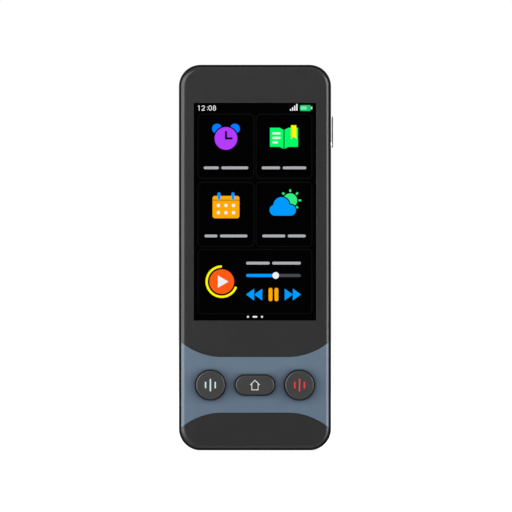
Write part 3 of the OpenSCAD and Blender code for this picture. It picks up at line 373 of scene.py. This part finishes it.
FINISHES = {
    "rear_cover": moulded(
        "case_rear", (0.022, 0.022, 0.024, 1), 0.38, grain=0.3, depth=0.005, specular=0.45,
    ),
    "mid_frame": moulded("case_frame", (0.007, 0.007, 0.0072, 1), 0.5, specular=0.08),
    "front_cover": moulded("panel_dark", PANEL_GREY, 0.2, vary=0.03),
    "chin_panel": moulded("panel_dark_low", PANEL_GREY, 0.2, vary=0.03),
    "key_band": band_slate_painted_shade(("left_talk_key", "home_key", "right_talk_key")),
    "touch_glass": polished("screen_glass", (0.0005, 0.0005, 0.0006, 1), GLASS_ROUGH, GLASS_SPECULAR),
    "left_talk_key": moulded("key_dark_left", KEY_GREY, 0.24),
    "home_key": moulded("key_dark_home", KEY_GREY, 0.24),
    "right_talk_key": moulded("key_dark_right", KEY_GREY, 0.24),
    "power_key_cap": moulded("power_dark", (0.016, 0.016, 0.0165, 1), 0.4, grain=0.15, specular=0.3),
    "power_key_stem": milky("power_milky"),
    "port_tongue": moulded("port_black", (0.012, 0.012, 0.012, 1), 0.4, grain=0.1),
    "speaker": moulded("speaker_black", (0.02, 0.02, 0.021, 1), 0.5),
    "speaker_grille": moulded("grille_black", (0.008, 0.008, 0.009, 1), 0.3, grain=0.12),
    "camera_plate": polished("camera_plate_black", (0.004, 0.004, 0.005, 1), 0.08, 0.35),
    "camera_module": moulded("camera_black", (0.010, 0.010, 0.011, 1), 0.4, grain=0.1),
    "board_chips": moulded("chip_resin", (0.014, 0.014, 0.015, 1), 0.5, grain=0.15, depth=0.004),
    "battery_socket": moulded("socket_pale", (0.62, 0.60, 0.52, 1), 0.45),
    "flash_led": moulded("flash_phosphor", (0.80, 0.62, 0.08, 1), 0.5, grain=0.1),
    "display_cell": polished("cell_film", (0.006, 0.007, 0.010, 1), 0.2, 0.5),
    "key_seal": polished("seal_silicone", (0.58, 0.60, 0.62, 1), 0.45, 0.4),
    "lens_window": coated_lens("lens_coated", "lens_window"),
    "flash_lens": ribbed_lens("flash_clear", "flash_lens"),
    "battery": metal("battery_foil", (0.42, 0.44, 0.46, 1), 0.42, (1, 1, 1), 0.02),
    "vibration_motor": metal("motor_steel", STEEL, 0.3),
    "port_shell": metal("port_steel", STEEL, 0.28),
    "backlight_tray": metal("tray_steel", STEEL, 0.35),
    "key_domes": metal("dome_steel", (0.66, 0.65, 0.62, 1), 0.25),
    "power_switch": metal("switch_steel", STEEL, 0.32),
    "switch_bracket": metal("bracket_steel", STEEL, 0.38),
    "processor_shield": metal("shield_tin", STEEL, 0.34),
    "radio_shield": metal("shield_tin_radio", STEEL, 0.34),
    "board_screws": metal("screw_steel", (0.30, 0.31, 0.32, 1), 0.35),
    "main_mic": metal("mic_gold", (0.62, 0.48, 0.22, 1), 0.35),
    "top_mic": metal("mic_gold_top", (0.62, 0.48, 0.22, 1), 0.35),
    "antenna": metal("antenna_copper", (0.62, 0.32, 0.14, 1), 0.32),
    "lower_board": lacquered_board("board_lower_green"),
    "main_board": lacquered_board("board_main_green"),
    "flash_board": lacquered_board("board_flash_green"),
    "battery_board": lacquered_board("board_battery_green"),
    "display_flex": film("flex_display"),
    "link_flex": film("flex_link"),
    "battery_tail": film("flex_battery"),
    "panel_tape": soft("tape_black", (0.015, 0.015, 0.015, 1), 0.15),
    "battery_pad": soft("pad_white", (0.60, 0.58, 0.52, 1), 0.2),
    "display_gasket": soft("gasket_foam", (0.03, 0.03, 0.03, 1)),
    "display_foam": soft("display_foam_black", (0.025, 0.025, 0.025, 1)),
    "speaker_gasket": soft("speaker_gasket_foam", (0.04, 0.04, 0.04, 1)),
    "speaker_cushion": soft("speaker_cushion_foam", (0.05, 0.05, 0.05, 1)),
    "camera_cushion": soft("camera_cushion_foam", (0.06, 0.06, 0.06, 1)),
    "main_mic_boot": soft("mic_boot_rubber", (0.03, 0.03, 0.03, 1), 0.15),
    "top_mic_boot": soft("mic_boot_rubber_top", (0.03, 0.03, 0.03, 1), 0.15),
}
for node, material in FINISHES.items():
    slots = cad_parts[node].data.materials
    slots.clear()
    slots.append(material)


# ---------------------------------------------------------------- flat shapes, as lists of corners

def disc(x, z, r, n=48):
    """A circle with n corners, from the right and anticlockwise."""
    angles = [math.tau * i / n for i in range(n)]
    return [(x + r * math.cos(a), z + r * math.sin(a)) for a in angles]


def block(x, z, w, h, r=0.0):
    """A rectangle about its middle, with corners of radius r."""
    if r == 0:
        return [(x + sx * w / 2, z + sz * h / 2) for sx, sz in ((-1, -1), (1, -1), (1, 1), (-1, 1))]
    points = []
    for sx, sz, start in ((1, -1, -90), (1, 1, 0), (-1, 1, 90), (-1, -1, 180)):
        points += arc(x + sx * (w / 2 - r), z + sz * (h / 2 - r), r, start, start + 90, 8)
    return points


def bar(x, z, w, h):
    """A bar with round ends."""
    return block(x, z, w, h, min(w, h) / 2)


def arc(x, z, r, start, end, n=16, tall=1.0):
    """Points along an arc, in degrees. tall stretches it upwards."""
    angles = [math.radians(start + (end - start) * i / n) for i in range(n + 1)]
    return [(x + r * math.cos(a), z + tall * r * math.sin(a)) for a in angles]


def stroke(points, width, closed=False):
    """A line of even width through points, as a list of four-cornered shapes."""
    blunt = 0.2  # keeps the corner of a very sharp bend from running far out
    spots = [Vector(p) for p in points]
    count = len(spots)
    edges = []
    for i, here in enumerate(spots):
        before = spots[(i - 1) % count] if closed or i > 0 else here
        after = spots[(i + 1) % count] if closed or i < count - 1 else here
        ways = [way.normalized() for way in (here - before, after - here) if way.length > 0]
        sides = [Vector((-way.y, way.x)) for way in ways]
        mitre = sum(sides, Vector((0, 0)))
        mitre *= width / 2 / max(mitre.dot(sides[0]), blunt)
        edges.append((tuple(here + mitre), tuple(here - mitre)))
    pairs = zip(edges, edges[1:] + edges[:1] if closed else edges[1:])
    return [[a[0], a[1], b[1], b[0]] for a, b in pairs]


def ring(x, z, r, width, start=0.0, end=360.0, n=48):
    """A ring about its middle line of radius r, or an arc of one."""
    whole = end - start == 360
    points = arc(x, z, r, start, end, n)
    return stroke(points[:-1] if whole else points, width, closed=whole)


def merged(x, z, shapes):
    """One outline round overlapping shapes, where all of it shows from the point x, z."""
    middle, outline = Vector((x, z)), []
    for ray in disc(0, 0, 1, 144):
        way, reach = Vector(ray), 0.0
        for shape in shapes:
            for start, end in zip(shape, shape[1:] + shape[:1]):
                here, edge = Vector(start) - middle, Vector(end) - Vector(start)
                across = way.cross(edge)
                if across and 0 <= here.cross(way) / across <= 1:
                    reach = max(reach, here.cross(edge) / across)
        outline.append(tuple(middle + reach * way))
    return [outline]


def moved(shapes, x, z):
    """The shapes, carried x to the right and z up."""
    return [[(x + px, z + pz) for px, pz in shape] for shape in shapes]


def plate(name, shapes, material, body, face_y, height):
    """A thin raised print of flat shapes on a face that looks towards -Y, at face_y."""
    weld = 0.0002  # closer corners become one, which joins the parts of a stroke
    bm = bmesh.new()
    for shape in shapes:
        bm.faces.new([bm.verts.new((x * MM, 0, z * MM)) for x, z in shape])
    bmesh.ops.remove_doubles(bm, verts=bm.verts, dist=weld * MM)
    for face in bm.faces:
        face.normal_update()
        if face.normal.y > 0:
            face.normal_flip()
    raised = bmesh.ops.extrude_face_region(bm, geom=bm.faces[:])
    front = [v for v in raised["geom"] if isinstance(v, bmesh.types.BMVert)]
    bmesh.ops.translate(bm, verts=front, vec=(0, -height * MM, 0))
    bmesh.ops.recalc_face_normals(bm, faces=bm.faces)
    mesh = bpy.data.meshes.new(name)
    bm.to_mesh(mesh)
    bm.free()
    mesh.materials.append(material)
    made = bpy.data.objects.new(name, mesh)
    made.location = (0, face_y * MM, 0)
    bpy.context.scene.collection.objects.link(made)
    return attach(made, body)


# ---------------------------------------------------------------- the picture on the screen

glass_low, glass_high = corners_of("touch_glass")
LAYER = 0.009  # thickness of each layer of the picture
STATUS_INSET = 1.75  # from the glass's edges to the bar's middle line and the first numeral
NUMERAL_H, NUMERAL_LINE = 1.86, 0.23
NUMERAL_PITCH, COLON_PITCH = 1.5, 1.0
SIGNAL_X, SIGNAL_PITCH = 12.7, 0.75
STEP_W, STEP_RISE = 0.48, 0.6  # of the steps that show the signal
STEPS_DOWN = 0.95  # from the bar's middle line to the foot of the steps
BATTERY_X = 18.0
COLUMN = 10.35  # from the screen's middle to each column's middle
ROWS = (108.5, 84.2, 60.2)  # middles of the three rows of cards
TILE_W, TILE_H = 19.9, 22.9
CARD_CORNER, CARD_LINE = 1.6, 0.3
SYMBOL_UP, CAPTION_DOWN = 3.0, 7.7  # from a tile's middle
CAPTION_H, WORD_SPACE = 1.0, 0.9
PLAYER_X = 6.6  # middle of what stands beside the wide card's symbol
PAGE_MARKS_Z, PAGE_MARKS_PITCH = 47.65, 2.5

WHITE = lit("ui_white", 238, 240, 242)
GREY = lit("ui_grey", 172, 174, 178)
LINE = lit("ui_line", 17, 17, 18)
RAIL = lit("ui_rail", 70, 72, 76)
GREEN = lit("ui_green", 0, 255, 105)
YELLOW = lit("ui_yellow", 255, 250, 0)
PURPLE = lit("ui_purple", 180, 60, 255)
BLUE = lit("ui_blue", 0, 125, 255)
AZURE = lit("ui_azure", 0, 155, 255)
MINT = lit("ui_mint", 50, 240, 130)
AMBER = lit("ui_amber", 255, 170, 0)
AMBER_DEEP = lit("ui_amber_deep", 205, 135, 20)
ORANGE = lit("ui_orange", 255, 90, 20)
INK = lit("ui_ink", 2, 2, 2)
CHARGE = lit("ui_charge", 30, 200, 110)
CHARGE_PALE = lit("ui_charge_pale", 120, 232, 176)


def on_screen(name, shapes, material, layer=1):
    """A part of the picture, thick enough to cover the parts in the layers below its own."""
    return plate(name, shapes, material, "main", glass_low.y, layer * LAYER)


def numeral(mark, x, z):
    """One of the marks that the clock needs, drawn with strokes. x is its middle and z its foot."""
    tall, line = NUMERAL_H, NUMERAL_LINE
    half, wide = tall / 2, tall * 0.27
    if mark == ":":
        return [disc(x, z + tall * up, line * 0.62, 14) for up in (0.18, 0.66)]
    if mark == "0":
        oval = arc(x, z + half, wide, 0, 360, 36, tall=(half - line / 2) / wide)
        return stroke(oval[:-1], line, closed=True)
    if mark == "1":
        left, right = x + tall * 0.05 - line / 2, x + tall * 0.05 + line / 2
        flag = [(x - tall * 0.2, z + tall * 0.83), (x - tall * 0.14, z + tall * 0.72)]
        stem = [(left, z), (right, z), (right, z + tall), (left, z + tall)]
        return [stem + flag + [(left, z + tall * 0.84)]]
    if mark == "2":
        bow = arc(x, z + tall - line / 2 - wide, wide, 165, -35)
        foot = block(x, z + line / 2, 2 * wide + line, line)
        return stroke(bow + [(x - wide + line * 0.7, z + line * 1.2)], line) + [foot]
    # An 8: a ring on top of a larger one, which is open where the two meet
    low, high = tall * 0.265, tall * 0.21
    lower = ring(x, z + line / 2 + low, low, line, 136, 404, 30)
    return lower + ring(x, z + tall - line / 2 - high, high, line, n=30)


def status_bar():
    """A clock, four steps of signal and the battery's charge."""
    z = glass_high.z - STATUS_INSET
    x, marks = glass_low.x + STATUS_INSET, []
    for mark in "12:08":
        marks += numeral(mark, x, z - NUMERAL_H / 2)
        x += COLON_PITCH if mark == ":" else NUMERAL_PITCH
    on_screen("screen_clock", marks, WHITE)
    steps = []
    for i in range(4):
        tall = STEP_RISE * (i + 1)
        steps.append(block(SIGNAL_X + SIGNAL_PITCH * i, z - STEPS_DOWN + tall / 2, STEP_W, tall))
    on_screen("screen_signal", steps, WHITE)
    on_screen("screen_battery", [block(BATTERY_X, z, 3.9, 2.1, 0.5)], CHARGE)
    on_screen("screen_battery_level", [block(BATTERY_X - 0.6, z, 2.1, 1.15, 0.25)], CHARGE_PALE, 2)
    on_screen("screen_battery_nub", [block(BATTERY_X + 2.25, z, 0.35, 0.95, 0.12)], WHITE)


def card(name, x, row, width):
    """A faint frame round one entry of the menu."""
    edge = block(x, ROWS[row], width, TILE_H, CARD_CORNER)
    on_screen(f"card_{name}", stroke(edge, CARD_LINE, closed=True), LINE)


def symbol(name, x, z, layers):
    """A symbol round x and z, as a list of layers from the lowest up."""
    for layer, (part, material, shapes) in enumerate(layers, 1):
        on_screen(f"{name}_{part}", moved(shapes, x, z), material, layer)


def caption(name, x, z, widths):
    """A row of blank bars about x and z, where an interface has its words."""
    bars, at = [], x - (sum(widths) + WORD_SPACE * (len(widths) - 1)) / 2
    for width in widths:
        bars.append(bar(at + width / 2, z, width, CAPTION_H))
        at += width + WORD_SPACE
    on_screen(f"caption_{name}", bars, GREY)


def tile(name, column, row, layers, widths):
    """A card with a symbol and its caption below."""
    x, z = COLUMN * column, ROWS[row]
    card(name, x, row, TILE_W)
    symbol(name, x, z + SYMBOL_UP, layers)
    caption(name, x, z - CAPTION_DOWN, widths)


CLOCK = [
    ("bells", BLUE, [disc(-3.2, 3.3, 1.75), disc(3.2, 3.3, 1.75)]),
    ("gap", INK, [disc(0, -0.2, 4.5)]),
    ("face", PURPLE, [disc(0, -0.2, 4.05)]),
    ("hands", INK, stroke([(0, 2.4), (0, -0.2), (2.3, -0.2)], 0.75)),
]
BOOK = [
    ("pages", GREEN, [
        [(-0.2, -3.9), (-0.2, 2.9), (-1.6, 3.6), (-5.0, 3.6), (-5.0, -3.2), (-1.6, -3.2)],
        [(0.2, -3.9), (1.6, -3.2), (5.0, -3.2), (5.0, 3.6), (1.6, 3.6), (0.2, 2.9)],
    ]),
    ("ribbon", YELLOW, [[(2.5, 4.5), (2.5, -0.4), (3.45, 0.5), (4.4, -0.4), (4.4, 4.5)]]),
    ("lines", WHITE, [
        bar(x, z, w, 0.7) for x, z, w in ((-2.7, 1.6, 2.9), (-2.7, 0.0, 2.9), (-3.2, -1.6, 1.9))
    ]),
]
CALENDAR = [
    ("page", AMBER, [block(0, -0.4, 9.6, 8.0, 0.9)]),
    ("head", AMBER_DEEP, [block(0, 2.05, 9.6, 0.5)]),
    ("pegs", AZURE, [bar(-2.5, 3.5, 1.1, 2.7), bar(2.5, 3.5, 1.1, 2.7)]),
    ("days", WHITE, [disc(x, z, 0.62, 20) for z in (0.2, -2.4) for x in (-2.7, 0, 2.7)]),
]
SUN_X, SUN_Z = 2.2, 2.0
RAY_ENDS = zip(disc(SUN_X, SUN_Z, 3.0, 8), disc(SUN_X, SUN_Z, 3.9, 8))
RAYS = [stroke(ends, 0.65)[0] for ends in RAY_ENDS]  # from the one to the right, anticlockwise
CLOUD_X, CLOUD_Z = -0.5, -1.2  # a point from which all of the cloud's outline shows
PUFFS = ((-0.9, 0.3, 2.85), (-3.2, -1.5, 1.95), (2.3, -1.5, 1.95))
PUFF_GAP = 0.4  # dark rim between the cloud and the sun
WEATHER = [
    ("sun", MINT, [disc(SUN_X, SUN_Z, 2.5), RAYS[7]] + RAYS[:5]),  # the cloud covers the other two rays
    ("gap", INK, merged(CLOUD_X, CLOUD_Z, [disc(x, z, r + PUFF_GAP) for x, z, r in PUFFS])),
    ("cloud", AZURE, merged(CLOUD_X, CLOUD_Z, [
        *(disc(x, z, r) for x, z, r in PUFFS),
        block(-0.45, -2.0, 5.5, 2.9),
    ])),
]
PLAYER = [
    ("track", YELLOW, ring(0, 0, 5.4, 0.8, 90, 340)),
    ("disc", ORANGE, [disc(0, 0, 4.4)]),
    ("arrow", WHITE, [[(-1.4, 2.2), (-1.4, -2.2), (2.4, 0.0)]]),
]
PROGRESS = [
    ("rail", RAIL, [bar(0, 0, 19.5, 1.1)]),
    ("played", AZURE, [bar(-4.5, 0, 10.5, 1.1)]),
    ("knob", WHITE, [disc(0.8, 0, 1.2)]),
]
CONTROLS = [
    ("skips", AZURE, [
        [(way * start, 2.1), (way * start, -2.1), (way * (start + 2.9), 0)]
        for way in (-1, 1) for start in (4.0, 6.9)
    ]),
    ("pause", AMBER, [bar(-1.05, 0, 1.4, 4.8), bar(1.05, 0, 1.4, 4.8)]),
]

status_bar()
tile("clock", -1, 0, CLOCK, [5.4, 9.6])
tile("book", 1, 0, BOOK, [6.6, 8.4])
tile("calendar", -1, 1, CALENDAR, [4.6, 9.8])
tile("weather", 1, 1, WEATHER, [8.2, 6.4])
card("player", 0, 2, 2 * COLUMN + TILE_W)
symbol("player", -COLUMN - 1.5, ROWS[2], PLAYER)
caption("player", PLAYER_X, ROWS[2] + 6.6, [8.4, 10.2])
symbol("progress", PLAYER_X, ROWS[2] + 2.2, PROGRESS)
symbol("controls", PLAYER_X, ROWS[2] - 4.6, CONTROLS)
on_screen("screen_page_marks", [
    disc(-PAGE_MARKS_PITCH, PAGE_MARKS_Z, 0.36, 20),
    bar(0, PAGE_MARKS_Z, 1.7, 0.6),
    disc(PAGE_MARKS_PITCH, PAGE_MARKS_Z, 0.36, 20),
], WHITE)


# ---------------------------------------------------------------- the signs on the keys

SIGN_HEIGHT = 0.03
VOICE_W, VOICE_PITCH = 0.5, 1.72
EAVES_X, EAVES_Z = 1.55, 0.18
WALL_X, FOOT_Z, RIDGE_Z = 1.12, -1.7, 1.72
HOUSE_LINE = 0.27
VOICE = [
    bar(x, 0, VOICE_W, tall) for x, tall in ((0, 4.5), (-VOICE_PITCH, 2.35), (VOICE_PITCH, 2.35))
]
HOUSE = stroke([
    (0, RIDGE_Z), (EAVES_X, EAVES_Z), (WALL_X, EAVES_Z), (WALL_X, FOOT_Z),
    (-WALL_X, FOOT_Z), (-WALL_X, EAVES_Z), (-EAVES_X, EAVES_Z),
], HOUSE_LINE, closed=True)


def on_key(name, node, body, shapes, material):
    """Prints a sign on the middle of a key's front."""
    placed = moved(shapes, *middle_of(node))
    return plate(name, placed, material, body, corners_of(node)[0].y, SIGN_HEIGHT)


on_key("sign_left_talk", "left_talk_key", "left_talk", VOICE, ink("ink_pale", (0.64, 0.78, 0.82, 1)))
on_key("sign_right_talk", "right_talk_key", "right_talk", VOICE, ink("ink_red", (0.82, 0.035, 0.04, 1)))
on_key("sign_home", "home_key", "home", HOUSE, ink("ink_white", (0.80, 0.80, 0.79, 1)))


# ---------------------------------------------------------------- studio

FLOOR_HALF = 2.6
FLOOR_GREY = (0.6, 0.6, 0.6, 1)
# What the floor adds for the camera: low up to from_low from the device, and high past from_high
FLOOR_GLOW = {"low": 0.70, "high": 1.0, "from_low": 0.15, "from_high": 0.6}
# Brightness that glossy rays meet, from straight in front of the screen, at 0, to straight behind, at 1
ROOM = [(0.0, 0.03), (0.03, 0.05), (0.2, 0.22), (0.5, 0.34), (0.62, 0.5), (0.8, 0.3), (1.0, 0.2)]
# What they meet on top of that, from straight below, at 0, to straight above, at 1
ROOM_ENDS = [(0.0, 0.36), (0.5, 0.0), (1.0, 0.15)]
SOFT_LIGHT = 0.16  # that diffuse rays meet all round
PICTURE = 512  # pixels along each side of the photograph
PIXEL = 0.3569 * MM  # what one of them covers on the device's front
MIDDLE_X, FOOT_Y = 254.98, 450.3  # the device's middle and its bottom end in the photograph, in pixels


def floor():
    """A pale plane that the camera sees as white with a soft shadow. Glossy rays pass through it."""
    mesh = bpy.data.meshes.new("floor")
    h = FLOOR_HALF
    mesh.from_pydata([(-h, -h, 0), (h, -h, 0), (h, h, 0), (-h, h, 0)], [], [(0, 1, 2, 3)])
    made = bpy.data.objects.new("floor", mesh)
    bpy.context.scene.collection.objects.link(made)
    material = bpy.data.materials.new("floor_pale")
    material.use_nodes = True
    mesh.materials.append(material)
    nodes = Nodes(material.node_tree)
    nodes.tree.nodes.clear()
    path = nodes.node("LightPath")
    away = nodes.node("VectorMath", operation="LENGTH")
    nodes.feed(away.inputs[0], nodes.node("TexCoord").outputs["Object"])
    level = nodes.spread(away.outputs["Value"], ease="SMOOTHSTEP", **FLOOR_GLOW)
    glow = nodes.node("Emission")
    nodes.feed(glow.inputs["Strength"], nodes.math("MULTIPLY", level, path.outputs["Is Camera Ray"]))
    pale = nodes.node("BsdfDiffuse")
    nodes.feed(pale.inputs["Color"], FLOOR_GREY)
    both = nodes.node("AddShader")
    nodes.feed(both.inputs[0], pale.outputs[0])
    nodes.feed(both.inputs[1], glow.outputs[0])
    surface = nodes.node("MixShader")
    nodes.feed(surface.inputs[0], path.outputs["Is Glossy Ray"])
    nodes.feed(surface.inputs[1], both.outputs[0])
    nodes.feed(surface.inputs[2], nodes.node("BsdfTransparent").outputs[0])
    nodes.feed(nodes.node("OutputMaterial").inputs["Surface"], surface.outputs[0])


def studio_world():
    """White to the camera. Reflections show a room, dim in front of the device and lighter behind it."""
    world = bpy.data.worlds.new("studio")
    bpy.context.scene.world = world
    world.use_nodes = True
    nodes = Nodes(world.node_tree)
    nodes.tree.nodes.clear()
    path = nodes.node("LightPath")
    way = nodes.node("SeparateXYZ")
    nodes.feed(way.inputs[0], nodes.node("TexCoord").outputs["Generated"])
    levels = []
    for axis, stops in (("Y", ROOM), ("Z", ROOM_ENDS)):
        share = nodes.math("MULTIPLY_ADD", way.outputs[axis], 0.5, 0.5)
        greys = [(place, (level, level, level, 1)) for place, level in stops]
        levels.append(nodes.ramp(share, greys))
    mirrored = nodes.math("MULTIPLY", nodes.math("ADD", *levels), path.outputs["Is Glossy Ray"])
    soft_light = nodes.math("MULTIPLY", path.outputs["Is Diffuse Ray"], SOFT_LIGHT)
    seen = nodes.math("MAXIMUM", path.outputs["Is Camera Ray"], path.outputs["Is Transmission Ray"])
    ground = nodes.node("Background")
    nodes.feed(ground.inputs["Color"], (1, 1, 1, 1))
    strength = nodes.math("MAXIMUM", nodes.math("MAXIMUM", seen, mirrored), soft_light)
    nodes.feed(ground.inputs["Strength"], strength)
    nodes.feed(nodes.node("OutputWorld").inputs["Surface"], ground.outputs[0])


def softbox(name, fills, distance, height, middle_z, radiance):
    """A flat soft light that fills the angles from the first to the last of the pair fills.

    They are in degrees, counted from straight in front of the device towards +X.
    """
    first, last = fills
    middle, half = math.radians((first + last) / 2), math.radians((last - first) / 2)
    width = 2 * distance * math.tan(half)
    light = bpy.data.lights.new(name, "AREA")
    light.shape = "RECTANGLE"
    light.size, light.size_y = width, height
    light.energy = radiance * math.pi * width * height
    made = bpy.data.objects.new(name, light)
    made.location = (distance * math.sin(middle), -distance * math.cos(middle), middle_z)
    aim = Vector((0, 0, middle_z)) - made.location
    made.rotation_mode = "QUATERNION"
    made.rotation_quaternion = aim.to_track_quat("-Z", "Y")
    made.visible_camera = False
    bpy.context.scene.collection.objects.link(made)


def camera():
    """Straight ahead from far away, so that the device has almost no perspective."""
    data = bpy.data.cameras.new("camera")
    data.lens, data.sensor_width = 400, 36
    data.clip_end = 20
    made = bpy.data.objects.new("camera", data)
    distance = PICTURE * PIXEL * data.lens / data.sensor_width
    made.location = (
        (PICTURE / 2 - MIDDLE_X) * PIXEL,
        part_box("mid_frame")[0].y - distance,
        (FOOT_Y - PICTURE / 2) * PIXEL,
    )
    made.rotation_euler = (math.pi / 2, 0, 0)
    bpy.context.scene.collection.objects.link(made)
    bpy.context.scene.camera = made


floor()
studio_world()
# Each tall light stands a little behind its neighbour: of two lights in one plane, reflections lose one
softbox("softbox_left", (-86, -13), distance=0.68, height=0.68, middle_z=0.22, radiance=1.9)
softbox("softbox_left_tall", (-86, -13), distance=0.72, height=0.88, middle_z=0.14, radiance=1.2)
softbox("softbox_right", (34, 74), distance=0.68, height=0.56, middle_z=0.19, radiance=2.2)
softbox("softbox_right_tall", (34, 74), distance=0.72, height=0.8, middle_z=0.07, radiance=1.8)
softbox("softbox_back", (140, 220), distance=0.9, height=0.9, middle_z=0.65, radiance=3.0)
camera()
bpy.context.scene.view_settings.view_transform = "Standard"
